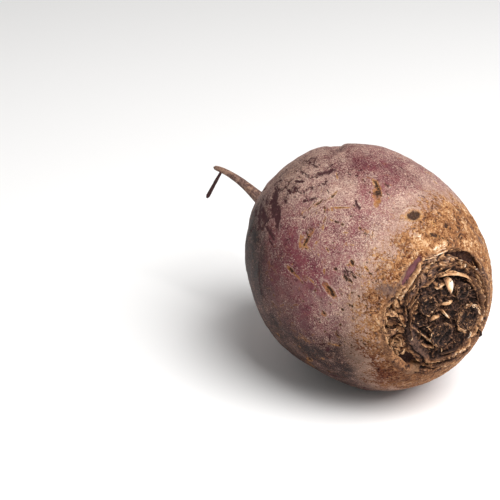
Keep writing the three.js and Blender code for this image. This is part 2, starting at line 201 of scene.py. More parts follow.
# Marks on the skin by kind: station and turn of both ends, and width
MARKS = {
    "oval": ((38.2, 349.2, 38.2, 355.6, 4.9),),
    "rusty": ((19.7, 348, 24, 346, 2.4), (23, 346.5, 28.2, 341, 3.4), (18.2, 306, 17.8, 300.4, 2),),
    "fork": (
        (27.4, 342, 29.6, 338.6, 2.2), (18.6, 310, 18.2, 305.6, 1.3), (14.8, 304.6, 16.6, 300, 1.1),
    ),
    "scar": (
        (12.7, 319.2, 13.3, 323.9, 1.3), (15.5, 325.8, 15.2, 330.6, 1.2), (36, 307.6, 37.2, 305.6, 1.7),
        (31, 289, 35.4, 284.5, 2.5), (14.4, 288.4, 18.2, 287, 1.5),
    ),
    "crack": (
        (18.5, 322.7, 24, 328.4, 0.85), (19.6, 318, 20.4, 315.6, 0.8), (20.6, 314.6, 22, 312.2, 0.8),
        (36.4, 306, 35.8, 304, 0.8), (18.2, 286.8, 21.2, 285.8, 0.8), (34, 252.6, 36.2, 252, 0.7),
        (9.9, 313, 10.5, 316, 0.6), (41.2, 2.6, 43.2, 3.4, 0.9), (29, 296, 29.6, 294, 0.9),
        (40.2, 309, 42.2, 307, 1), (7.5, 338, 10.4, 336, 0.7), (26.4, 306, 27.8, 305, 0.8),
        (25, 288, 27, 287, 0.6),
    ),
    "dark": (
        (23, 333.4, 24.4, 332.6, 1.4), (24.2, 332.6, 26.6, 331.6, 1.5), (6.4, 317.6, 8.2, 319.6, 1.8),
        (8.6, 319.8, 10.4, 322.2, 1.5), (35, 303, 37.8, 298.8, 0.9), (35.2, 299.6, 38, 302.2, 0.9),
        (-2.8, 281.7, -0.4, 268.2, 1.2), (28.4, 251, 31.6, 252.6, 0.9), (33, 254, 33.8, 260, 0.8),
        (31.8, 250, 30.8, 247.2, 1.5), (1.2, 329.6, 4.9, 338.8, 2.2), (-9.2, 331, -4.4, 328.2, 0.7),
        (-7.4, 330, -1, 329, 0.8), (1.2, 326, 0.7, 321, 0.8), (-3.4, 319, -3, 323, 0.8),
        (8, 319, 9.5, 322, 1), (-1.1, 295, 4.5, 293, 0.8), (22.5, 222, 27.1, 221, 1.6),
        (12, 346, 12.2, 349, 0.8),
    ),
    "pit": (
        (26.6, 320, 26.6, 320, 1.7), (24.1, 319, 24.1, 319, 1.3), (32.2, 324, 32.2, 324, 1.6),
        (17.1, 321, 17.1, 321, 1.4), (17.2, 344, 17.2, 344, 1.2), (32.8, 299, 32.8, 299, 1.9),
        (38.2, 297.4, 39.2, 296.6, 1.1), (16.4, 308.4, 18, 310, 0.8), (35.6, 308, 37, 306, 0.8),
        (43.8, 256, 44.5, 254, 0.8), (35.8, 262, 37.2, 259, 1),
    ),
    "knot": (
        (36.2, 298.2, 37.4, 296.8, 1.6), (38.2, 300.8, 39.6, 300, 1), (44.9, 356.8, 45.5, 1.6, 2),
        (45.8, 4.2, 46.8, 8.6, 1.1), (46.5, 10.8, 48.7, 9.2, 0.7), (42.2, 12.5, 43.4, 12.9, 1.2),
        (45.3, 22.2, 45.3, 23, 1), (45.1, 25.2, 45.1, 26, 0.9), (51.5, 176, 51.6, 171, 2),
        (51.6, 168.5, 51.6, 163.9, 1.6), (51.4, 194.5, 52.1, 188, 0.9), (52.1, 186, 52.5, 180.2, 0.8),
    ),
    "smear": (
        (34.8, 324.8, 36.2, 322.6, 3.2), (41.4, 274.6, 42.4, 273.6, 2.2), (39.3, 288, 40.1, 287, 1.8),
        (19.2, 249.8, 23.4, 250.4, 3.2), (23.6, 250.4, 28, 251, 2.4), (46.3, 279, 46.3, 281, 1.6),
    ),
    "ring": ((32.1, 272.6, 32.3, 272.6, 2.4), (32.6, 252.9, 33.2, 253.2, 1.2),),
    "peel": (
        (-13.8, 317, -6, 310, 3.6), (-10.5, 312, -1.5, 305, 4.4), (-13, 304, -4.5, 300, 3),
        (-2.6, 310, 3, 301, 3), (-4, 299, 4, 296, 1.8), (-18, 306, -11, 298, 3),
    ),
    "scratch": ((6.7, 266, 9.2, 265, 0.8), (9.8, 262, 11.3, 260, 0.8), (8.2, 258, 10.6, 255, 0.8),),
    "smooth": ((37, 40.5, 39.4, 47.2, 1.3), (39.4, 47.2, 39.8, 60, 2.2), (46.6, 301.5, 49.4, 305, 4.4),),
    "stone": ((49.1, 208.2, 50.6, 201, 3.4),),
}
# How a kind of mark looks: reach of its dark core, orange rim, peeled skin, smooth stain, raggedness, depth
MARK_KINDS = {
    "oval": (0.8, 0.6, 0, 0, 0.26, 0.5),
    "scar": (0.78, 0.8, 0, 0, 0.8, 0.5),
    "crack": (0.35, 0.95, 0, 0, 0.55, 0.2),
    "fork": (0, 0.95, 0, 0, 0.6, 0.3),
    "rusty": (0.62, 0.95, 0, 0, 1, 0.4),
    "dark": (0.95, 0, 0, 0, 1, 0.25),
    "pit": (0.85, 0.55, 0, 0, 0.6, 0.5),
    "ring": (0.3, 0.6, 0, 0, 0.8, 0.4),
    "smear": (0, 0.55, 0, 0, 2.6, 0),
    "peel": (0, 0, 1, 0, 1, 0.15),
    "scratch": (0.5, 0.4, 0, 0, 0.6, 0.15),
    "smooth": (0, 0, 0, 0.9, 1.3, 0.1),
    "stone": (0, 0.3, 0, 1.3, 0.3, 0.15),
    "knot": (0.92, 0.4, 0, 0, 0.9, 0.4),
}
# Seeded clusters of small marks: first and last station, first and last turn, count, lengths,
# widths, kind
CLUSTERS = (
    (-24, -2, 290, 324, 22, (1, 5), (0.8, 1.8), "peel"),
    (-14, 8, 312, 342, 30, (0.8, 3.4), (0.5, 1), "dark"),
    (-20, 12, 290, 345, 40, (0.6, 2.6), (0.3, 0.6), "dark"),
    (12, 34, 300, 330, 14, (0.3, 1.6), (0.35, 0.6), "crack"),
    (10, 40, 255, 345, 26, (0.2, 1), (0.35, 0.6), "pit"),
    (30, 46, 250, 312, 34, (0, 0.6), (0.5, 1.1), "pit"),
    (2, 24, 240, 290, 20, (0.6, 2.6), (0.4, 0.8), "scratch"),
    (10, 34, 335, 372, 12, (0.3, 1.4), (0.4, 0.8), "dark"),
    (-44, 30, 15, 245, 60, (0.4, 3.5), (0.7, 1.3), "crack"),
    (-44, 30, 15, 245, 46, (0, 0.4), (0.7, 1.6), "pit"),
    (-44, 30, 15, 245, 46, (0.5, 4), (0.6, 1.2), "dark"),
    (-40, 25, 30, 235, 14, (1.5, 6), (1.4, 2.8), "scar"),
    (-34, 20, 40, 235, 16, (2, 8), (1.5, 4), "peel"),
    (-44, -20, 245, 375, 24, (0.5, 4), (0.6, 1.4), "dark"),
)
# Soft patches of the skin: station, turn, size, then how mauve and dusty they are, and how much shade
# is painted on them: painted shade on the underside, the left flank and the top
TINTS = (
    (6, 285, 12, 0.6, 0, 0.3), (18, 268, 10, 0.6, 0, 0.2), (16, 250, 9, 0.3, 0, 0.15),
    (26, 228, 10, 0.2, 0, 0.2), (-14, 330, 9, 0, 0.4, 0.4), (-6, 318, 7, 0, 0.3, 0.35),
    (4, 348, 12, 0, 0, 0.25), (-10, 352, 12, 0, 0.2, 0.25), (20, 5, 10, 0, 0, 0.2),
    (13.9, 290, 9, 1, 0, 0), (5.5, 350, 11, 0.6, 0, 0), (17.2, 359, 10, 0.7, 0, 0),
    (26.9, 343, 8, 0.6, 0, 0), (28.1, 297, 8, 0.7, 0, 0), (14.4, 274, 10, 1, 0, 0),
    (14.3, 303, 7, 0.6, 0, 0), (34.1, 312, 6, 0.3, 0, 0), (0.2, 305, 8, 0.7, 0, 0),
    (22.3, 275, 9, 0.9, 0, 0), (33.3, 287, 6, 0.5, 0, 0), (16.2, 338, 5, 0, 0.6, 0),
    (13.3, 330, 6, 0, 0.6, 0), (32.8, 349, 8, 0, 0.9, 0), (40.7, 321, 7, 0, 0.9, 0),
    (43.5, 287, 6, 0, 0.7, 0), (-26, 322, 14, 0, 0.6, 0.3), (42.8, 343, 6, 0, 0.8, 0),
    (-2.9, 325, 9, 0, 0.6, 0), (23.8, 12, 8, 0, 0.5, 0), (34.8, 237, 9, 0, 0.2, 0.9),
    (44.5, 213, 9, 0, 0.1, 0.35), (6.8, 250, 12, 0.2, 0.1, 0.6), (42.5, 250, 7, 0, 0.3, 0.6),
    (24, 240, 12, 0.2, 0.1, 0.8), (-8.9, 285, 9, 0.2, 0, 0.7), (-19, 290, 12, 0, 0.1, 0.7),
    (8, 235, 14, 0.1, 0.2, 0.8), (0, 60, 22, 0.4, 0.4, 0), (-25, 120, 22, 0.2, 0.5, 0.2),
    (10, 140, 20, 0.7, 0.1, 0.1), (-20, 200, 22, 0.3, 0.2, 0.4), (15, 185, 18, 0.2, 0.3, 0.5),
    (-32, 20, 14, 0.1, 0.7, 0.2), (-15, 40, 14, 0.8, 0, 0), (-5, 95, 14, 0.8, 0, 0.1),
    (-20, 268, 15, 0.1, 0, 0.9), (-4, 268, 9, 0.1, 0, 0.7), (-30, 290, 10, 0, 0, 0.6),
    (30, 215, 16, 0, 0, 0.9), (48, 190, 14, 0, 0, 0.45), (5, 215, 18, 0, 0, 0.9),
    (-15, 240, 14, 0, 0, 0.8), (47, 300, 5, 0, 0, 0.25), (40, 262, 6, 0, 0.1, 0.4),
    (44, 285, 6, 0, 0, 0.3), (42, 232, 10, 0, 0, 0.4), (-14, 300, 10, 0.2, 0, 0.35),
    (-38, 250, 12, 0.1, 0.3, 0.5), (20, 95, 13, 0.1, 0.6, 0.2), (-12, 160, 12, 0.6, 0.2, 0),
)

# Broad swellings of the body: station, turn, size and height
BULGES = ((-17, 346, 15, 1.1), (-3, 2, 12, 0.8), (12, 225, 14, -0.7))
# A short furrow over the top: both ends as station and turn, depth and width
NOTCH = ((-1.5, 347), (-24, 5), 1.5, 1.5)

# Dried leaf remains, placed as in the solid part: (radius, turn, height over the disc)
SEAT_DEPTH = 1.2
STALK_HEIGHT = 2.2
STALK_HOLLOW = 1.5
STALK_BASES = (
    ("stalk_base_right", 11.2, 105, 5),
    ("stalk_base_low", 6.7, 189, 4.6),
    ("stalk_base_left", 9.9, 311, 3.5),
    ("stalk_base_top", 11.4, 43, 3.1),
)
EDGE_SCALES = (
    ("scale_upper", (5.4, 345, 0), (5.1, 10, 0), (6.6, 31, 0), 2.4),
    ("scale_middle", (3.5, 341, 0), (0.9, 20, 0), (2.7, 112, 0), 2.4),
    ("scale_lower", (5.9, 268, 0), (4.6, 290, 0), (2.3, 292, 0), 2.2),
    ("scale_arched", (15.8, 352, 0.1), (18.5, 23, 0.5), (16.9, 55, 0.1), 3.4),
)
FLAT_SCALES = (
    ("scale_pointed", (14.2, 4, -0.9), (12, 7, 2), (9.1, 13, 0.9), 5.2),
    ("scale_outer", (19.6, 134, -1.6), (18.2, 128, 1.2), (16.2, 126, 1), 3),
)
SCALE_TONES = {"scale_upper": 0.8, "scale_middle": 0.84, "scale_lower": 0.78, "scale_arched": 0.8,
               "scale_pointed": 0.82, "scale_outer": 0.72}
FLAKES = (
    ("flake_upper", (22.6, 283, -2.6), (20, 286, 0.6), (17.9, 279, -1.5), 3.4),
    ("flake_middle", (22.2, 264, -2.6), (19.6, 262, 0.6), (17.5, 266, -1.7), 4.2),
    ("flake_low", (21.4, 242, -3), (19, 243, 0.2), (17, 249, -1.9), 4),
)
SCALE_THICKNESS = 0.8
# Papery lips that stand up round the crown: (turn, radius) along the foot, height of the edge over the
# foot, lean outwards, thickness, tone
LIPS = (
    (((338, 23.9), (332, 22.7), (323, 21.8), (314, 20.9), (306, 19.8)), 1.6, -0.2, 0.9, 0.76),
    (((313, 22.6), (307, 22.5), (301, 22.3)), 1.5, 0.3, 1.4, 0.74),
    (((338, 20.6), (326, 19.6), (314, 18.7), (303, 17.8), (294, 17.3)), 1.2, 0.4, 0.4, 0.52),
    (((344, 16.2), (337, 15.6), (330, 15.9)), 1.3, 0.4, 1.2, 0.6),
    (((322, 17.6), (312, 17), (303, 16.2), (294, 15.4)), 1.4, 0.6, 0.6, 0.6),
    (((300, 15), (286, 14.2), (272, 13.6), (258, 13.4), (246, 13.6)), 1.2, 0.5, 0.4, 0.56),
    (((12, 21.4), (24, 20.6), (36, 20.1), (50, 19.9), (64, 20)), 1.4, 0.3, 0.4, 0.6),
    (((46, 20.4), (62, 20), (80, 20.2), (97, 21), (112, 20.3)), 1.2, 0.4, 0.4, 0.55),
    (((40, 17), (58, 16.5), (78, 16.8), (96, 17.7), (112, 18.6)), 1.3, 0.7, 0.6, 0.52),
    (((196, 19), (182, 19), (166, 19.4), (152, 20.6), (138, 21.9), (128, 22.2)), 1.4, 0.2, 0.5, 0.5),
    (((190, 21), (176, 21.3), (162, 21.9), (148, 23)), 0.8, 0.3, 0.5, 0.46),
    (((200, 17.6), (186, 17.4), (172, 17.6), (158, 18.3)), 1.2, -0.3, 0.4, 0.48),
    (((178, 16.2), (164, 16.6), (150, 17.6), (138, 18.8)), 1.1, -0.5, 0.4, 0.44),
    (((132, 19.6), (126, 20.4), (119, 20.6)), 1.4, 0.2, 1.6, 0.7),
    (((345, 19.8), (355, 19.6), (5, 19.4), (14, 19.5)), 1.1, 0.3, 0.45, 0.6),
    (((336, 20.9), (341, 21), (347, 21.6)), 0.9, 0.2, 0.5, 0.68),
    (((222, 12.4), (214, 12), (205, 11.7), (196, 11.6)), 1.4, 0.4, 0.4, 0.64),
    (((236, 12.2), (243, 11), (252, 10.2)), 1.1, 0.3, 0.4, 0.5),
    (((298, 22.2), (294, 21), (289, 19.9), (286, 18.6)), 0.9, 0.2, 1, 0.78),
    (((281, 21.2), (275, 20.9), (269, 20.4), (265, 19.4)), 0.8, 0.4, 0.6, 0.68),
    (((280, 17.4), (275, 16.9), (270, 15.9)), 0.8, 0.3, 0.5, 0.7),
    (((256, 21.2), (252, 20.8), (247, 20)), 0.8, 0.2, 0.6, 0.74),
    (((250, 20), (248, 19), (245, 17.8), (244, 16.6)), 0.9, 0.3, 0.45, 0.7),
    (((242, 20.2), (240, 19), (237, 17.8)), 0.8, 0.3, 0.5, 0.62),
    (((341, 24), (347, 23.5), (353, 23.2)), 0.7, 0.2, 0.6, 0.86),
    (((352, 23.6), (0, 23.6), (8, 23.7)), 0.8, 0.1, 0.7, 0.98),
    (((352, 24.6), (359, 24.6), (6, 24.7)), 0.7, 0.1, 0.6, 0.9),
    (((121, 21.6), (124, 23.2), (127.5, 24.8)), 1.9, 0.2, 0.7, 0.3),
    (((6, 13.6), (358, 12.9), (350, 12.2), (343, 12.2)), 1.1, -0.2, 0.9, 0.8),
)
LIP_SEAT = 1.6
# Loose shreds: count, radii, first and last turn, lengths, widths, spread of heading off the ring, tones
SHREDS = (
    (26, (15.5, 22), (300, 380), (1.5, 4.5), (0.6, 1.6), 0.6, (0.34, 0.66)),
    (20, (17, 22), (40, 195), (2, 6), (0.5, 1.3), 0.25, (0.3, 0.58)),
    (70, (1, 15), (0, 360), (1.2, 3.8), (0.4, 1.1), 1.3, (0.04, 0.38)),
    (16, (2, 15.5), (0, 360), (0.7, 2), (0.25, 0.55), 1.3, (0.5, 0.8)),
    (12, (17.2, 21.6), (222, 288), (1.4, 2.8), (0.7, 1.6), 1.4, (0.4, 0.8)),
)
# Pale crumbs of a broken rim: stalk's radius and turn, rim, first and last angle round it, count
RIM_CRUMBS = (
    (11.2, 105, 5, -10, 130, 44), (11.2, 105, 5.2, 190, 235, 20), (11.2, 105, 4.6, 255, 320, 12),
    (9.9, 311, 3.5, 60, 200, 6), (6.7, 189, 4.6, 200, 300, 5),
)

# Colours that a tone from 0 to 1 runs through: place, red, green, blue
DRIED_COLOURS = (
    (0, 26, 17, 14), (0.14, 46, 31, 26), (0.3, 82, 57, 45), (0.44, 120, 84, 60), (0.58, 160, 116, 80),
    (0.72, 194, 150, 108), (0.86, 220, 184, 148), (1, 238, 220, 198),
)
CORK_COLOURS = (
    (0, 34, 22, 18), (0.2, 92, 60, 42), (0.36, 132, 88, 56), (0.5, 158, 110, 70), (0.64, 180, 134, 92),
    (0.78, 198, 156, 116), (0.9, 214, 182, 148), (1, 240, 222, 198),
)

# The stage, in metres: the camera looks from its azimuth and elevation, a little to the side of the root
FLOOR_RADIUS = 7
FLOOR_CORNERS = 96
FLOOR_DROP = 0.0003
CAMERA_AZIMUTH = 60
CAMERA_ELEVATION = 25
CAMERA_TARGET = (0.0026, -0.0025, 0.0448)
CAMERA_ASIDE = (-0.04495, 0.00676)
CAMERA_DISTANCE = 0.5806
SENSOR_WIDTH = 36
CLIP = (0.01, 30)
# Lights: name, size, and place to the right of, above and behind the target as the camera sees it
LIGHTS = (("key", 0.85, (0.42, 0.62, 0.80)), ("fill", 1.0, (0.9, 0.25, 0.8)))


# ---------------------------------------------------------------- arithmetic on whole arrays

def ease(value, low, high):
    """Rises from 0 at low to 1 at high along 3t^2 - 2t^3."""
    share = np.clip((value - low) / (high - low), 0, 1)
    return share * share * (3 - 2 * share)


def inside_of(value, rise, fall):
    """Rises from 0 to 1 over one pair of limits and falls back to 0 over another."""
    return ease(value, *rise) * (1 - ease(value, *fall))


def blend(a, b, share):
    """a where share is 0, b where it is 1, in proportion between."""
    return a + (b - a) * share


def stacked(*parts):
    """Arrays side by side as the last axis of one."""
    return np.stack(parts, axis=-1)


def size_of(vectors):
    """Lengths of vectors."""
    return np.linalg.norm(vectors, axis=-1)


def unit(vectors):
    """Vectors divided by their length."""
    return vectors / np.maximum(np.linalg.norm(vectors, axis=-1, keepdims=True), 1e-9)


def bell(distance, width):
    """A bell: e to the minus square of distance over width."""
    return np.exp(-((distance / width) ** 2))


def outward_at(angle):
    """Unit vectors away from the root's axis, at angles round it."""
    return stacked(0 * angle, np.sin(angle), np.cos(angle))


def round_at(angle):
    """Unit vectors round the root's axis, the way turns grow."""
    return stacked(0 * angle, np.cos(angle), -np.sin(angle))


def line_share(points, start, end):
    """Where each point is along the straight line from start to end, from 0 to 1."""
    return np.clip(((points - start) @ (end - start)) / ((end - start) @ (end - start)), 0, 1)


def bezier(controls, share):
    """Point and unit tangent on a Bezier curve of any degree, by repeated halving between its controls."""
    level = [np.broadcast_to(np.asarray(c, float), share.shape + (3,)) for c in controls]
    while len(level) > 2:
        level = [blend(a, b, share[..., None]) for a, b in zip(level, level[1:])]
    return blend(level[0], level[1], share[..., None]), unit(level[1] - level[0])


GRADIENTS = np.array(
    [np.insert((a, b), zero, 0) for zero in (2, 1, 0) for b in (1, -1) for a in (1, -1)], float)
CELL_CORNERS = np.array([(i, j, k) for i in (0, 1) for j in (0, 1) for k in (0, 1)])


def noise(points, seed):
    """Gradient noise, about -1 to 1: each lattice corner pushes along its own hashed direction, and the
    eight corners of a cell are mixed with a fade of 6t^5 - 15t^4 + 10t^3."""
    cell = np.floor(points).astype(np.int64)
    part = points - cell
    fade = part ** 3 * (part * (part * 6 - 15) + 10)
    total = np.zeros(points.shape[:-1])
    for corner in CELL_CORNERS:
        x, y, z = np.moveaxis(cell + corner, -1, 0)
        mixed = (x * 374761393 + y * 668265263 + z * 1440662683 + seed * 1274126177) & 0xFFFFFFFF
        mixed = ((mixed ^ (mixed >> 13)) * 1274126177) & 0xFFFFFFFF
        slope = GRADIENTS[((mixed ^ (mixed >> 16)) >> 4) % 12]
        weight = np.prod(np.where(corner == 1, fade, 1 - fade), axis=-1)
        total += weight * ((part - corner) * slope).sum(axis=-1)
    return total * 1.5


def octave_sum(field, points, seed, octaves, apart):
    """A field plus the same at finer and finer scales, of half the strength each time, scaled back."""
    weights = 0.5 ** np.arange(octaves)
    fields = (field(points * 2.03 ** k, seed + apart * k) for k in range(octaves))
    return sum(weight * values for weight, values in zip(weights, fields)) / weights.sum()


def layered(points, seed, octaves=3):
    """Layers of noise, about -1 to 1."""
    return octave_sum(noise, points, seed, octaves, 31)


def crest(points, seed):
    """One minus the size of noise, so its zero lines are sharp crests."""
    return 1 - np.minimum(1, 2.2 * np.abs(noise(points, seed)))


def ridged(points, seed, octaves=2):
    """Layers of crests, 0 to 1."""
    return octave_sum(crest, points, seed, octaves, 17)


def turn_gap(turn, middle):
    """How far a turn is from another, 0 to 180."""
    return np.abs((turn - middle + 180) % 360 - 180)


def over_turns(turn, start, end, soft):
    """1 between two turns, 0 elsewhere, with soft ends."""
    half = ((end - start) % 360) / 2
    return 1 - ease(turn_gap(turn, start + half), half - soft, half + soft)


def along_turns(turn, table):
    """Value of a table of (turn, value) at each turn, in straight steps that close round the axis."""
    turns, values = np.array(table, float).T
    return np.interp(turn, turns, values, period=360)


def averaged(field, reach):
    """Field averaged over neighbours on the grid, reach times, closed round the columns."""
    for _ in range(reach):
        field = (field + np.roll(field, 1, 1) + np.roll(field, -1, 1)) / 3
        padded = np.vstack([field[:1], field, field[-1:]])
        field = (padded[:-2] + padded[1:-1] + padded[2:]) / 3
    return field


# ---------------------------------------------------------------- the root's own form

def lobe(turn):
    """Out-of-round factor: one, plus a first and a second harmonic of the turn."""
    angle = np.radians(turn)
    return (1 + LOBES[0] * np.cos(angle) + LOBES[1] * np.sin(angle)
            + LOBES[2] * np.cos(2 * angle) + LOBES[3] * np.sin(2 * angle))


def crown_station(radius, turn, sizes):
    """Station of the crown: a doming disc that gives way to the body's dome between the disc's and the
    crown's radius, plus a bell-shaped rim, less the furrows."""
    dome = sizes["crown_reach"] * (1 - (radius / sizes["body_radius"]) ** 2) ** (1 / CROWN_FULLNESS)
    disc = DISC_STATION - DISC_DOMING * radius ** 2
    station = blend(disc, dome, ease(radius, DISC_RADIUS, CROWN_RADIUS))
    station = station + RIM[1] * bell(radius - RIM[0], RIM[2])
    for place, depth, width, middle, spread in FURROWS:
        across = np.exp(-(((radius - place) / width) ** 4))
        station = station - depth * across * np.exp(-((turn_gap(turn, middle) / spread) ** 4))
    return station


def tail_radius(station, sizes):
    """Radius behind the widest ring: the body's superellipse and the taproot's taper with its collar,
    joined as the fourth root of the sum of their fourth powers."""
    share = np.minimum(1, np.abs(station / sizes["tail_reach"]))
    body = sizes["body_radius"] * np.sqrt(1 - share ** TAIL_FULLNESS)
    down = np.clip((TAPROOT_START - station) / sizes["taproot_length"], 0, 1)
    collar = COLLAR_HEIGHT * np.exp(-np.maximum(0, -sizes["tail_reach"] - station) / COLLAR_FADE)
    taproot = blend(TAPROOT_RADIUS, TIP_RADIUS, down) + collar
    return (body ** 4 + taproot ** 4) ** 0.25


def body_radius_at(station, sizes):
    """Radius of the body at a station, on either side of the widest ring."""
    share = np.clip(station / sizes["crown_reach"], 0, 1)
    front = sizes["body_radius"] * np.sqrt(1 - share ** CROWN_FULLNESS)
    return np.where(station > 0, front, tail_radius(np.minimum(station, 0), sizes))


def on_body(station, turn, sizes):
    """A point on the body's skin."""
    reach = float(body_radius_at(np.array(float(station)), sizes) * lobe(turn))
    return np.array([station, reach * math.sin(math.radians(turn)), reach * math.cos(math.radians(turn))])


def root_rows(sizes):
    """Radius and station of each ring, from the crown's middle to the taproot's tip, spaced evenly by
    arc length within the crown, its cork, the body and the taproot."""
    shoulder = math.asin(SHOULDER_RADIUS / sizes["body_radius"])
    radius = np.linspace(0, SHOULDER_RADIUS, PROFILE_POINTS)
    lines = [np.stack([radius, crown_station(radius, 0 * radius, sizes)])]
    angle = np.linspace(shoulder, math.pi / 2, PROFILE_POINTS)[1:]
    front = sizes["crown_reach"] * np.cos(angle).clip(0) ** (2 / CROWN_FULLNESS)
    lines.append(np.stack([sizes["body_radius"] * np.sin(angle), front]))
    angle = np.linspace(math.pi / 2, math.radians(BODY_END), PROFILE_POINTS)[1:]
    back = -sizes["tail_reach"] * np.abs(np.cos(angle)) ** (2 / TAIL_FULLNESS)
    lines.append(np.stack([tail_radius(back, sizes), back]))
    share = np.linspace(0.01, 1, PROFILE_POINTS)
    down = TAPROOT_START - share * sizes["taproot_length"]
    down = down[down < back[-1]]
    share = (TAPROOT_START - down) / sizes["taproot_length"]
    rounding = np.sqrt(1 - ease(share, 0.955, 1) ** 2)
    lines.append(np.stack([tail_radius(down, sizes) * rounding, down]))
    radius, station = np.concatenate(lines, axis=1)
    arc = np.concatenate([[0], np.cumsum(np.hypot(np.diff(radius), np.diff(station)))])
    cork = np.searchsorted(radius[:2 * PROFILE_POINTS - 2], CORK_RADIUS)
    stops = [0, arc[PROFILE_POINTS - 1], arc[cork], arc[len(arc) - len(down)], arc[-1]]
    wanted = [np.linspace(a, b, n, endpoint=False) for a, b, n in zip(stops, stops[1:], RINGS)]
    wanted = np.concatenate([*wanted, [arc[-1]]])
    return np.interp(wanted, arc, radius), np.interp(wanted, arc, station)


def spine(station, sizes):
    """Middle of the root and its two cross directions: straight along the axis, then down the taproot's
    curve, with up made square to it. The sections turn from the axis to the curve over its first part."""
    share = (TAPROOT_START - station) / sizes["taproot_length"]
    curve, along = bezier(TAPROOT_PATH, np.clip(share, 0, 1))
    before = (share <= 0)[..., None]
    middle = np.where(before, station[..., None] * AXIS, curve)
    turned = ease(share, 0, TAPROOT_TURN_IN)[..., None]
    along = unit(blend(-AXIS, along, turned))
    up = unit(np.array([0, 0, 1.0]) - along * along[..., 2:])
    side = np.where(before, np.array([0, 1.0, 0]), np.cross(along, up))
    return middle, up, side


def grid_normals(points):
    """Unit normals of a grid of rings: the cross product of its steps round and along the axis."""
    return unit(np.cross(np.roll(points, -1, 1) - np.roll(points, 1, 1), np.gradient(points, axis=0)))


def on_disc(place):
    """A point over the crown's disc from (radius, turn, height)."""
    radius, turn, height = place
    angle = math.radians(turn)
    station = DISC_STATION - DISC_DOMING * radius ** 2 + height
    return (station, radius * math.sin(angle), radius * math.cos(angle))


def row_frame(points, sizes):
    """Points from the root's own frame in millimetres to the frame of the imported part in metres."""
    height = sizes["body_radius"] * (1 - LOBES[0] + LOBES[2]) - FLAT_SPOT_DEPTH
    return (points + np.array([-FLAT_SPOT_MIDDLE[0], -FLAT_SPOT_MIDDLE[1], height])) * MM


def disc_distance(points, start, end):
    """Distance over the disc from a straight line between two places given as (radius, turn)."""
    a, b = (np.array(on_disc((*place, 0)))[1:] for place in (start, end))
    share = line_share(points[..., 1:], a, b)
    return size_of(points[..., 1:] - a - share[..., None] * (b - a))


def follow(turn, line):
    """Radius of a line round the crown at each turn, and where the line is: 1 along it, 0 past its soft
    ends. The line may run either way and over the top."""
    turns, radii = np.array(line, float).T
    way = 1 if (turns[1] - turns[0]) % 360 < 180 else -1
    past, along = (way * (turn - turns[0])) % 360, (way * (turns - turns[0])) % 360
    here = inside_of(past, (0, LINE_FADE), (along[-1] - LINE_FADE, along[-1]))
    return np.interp(past, along, radii), here


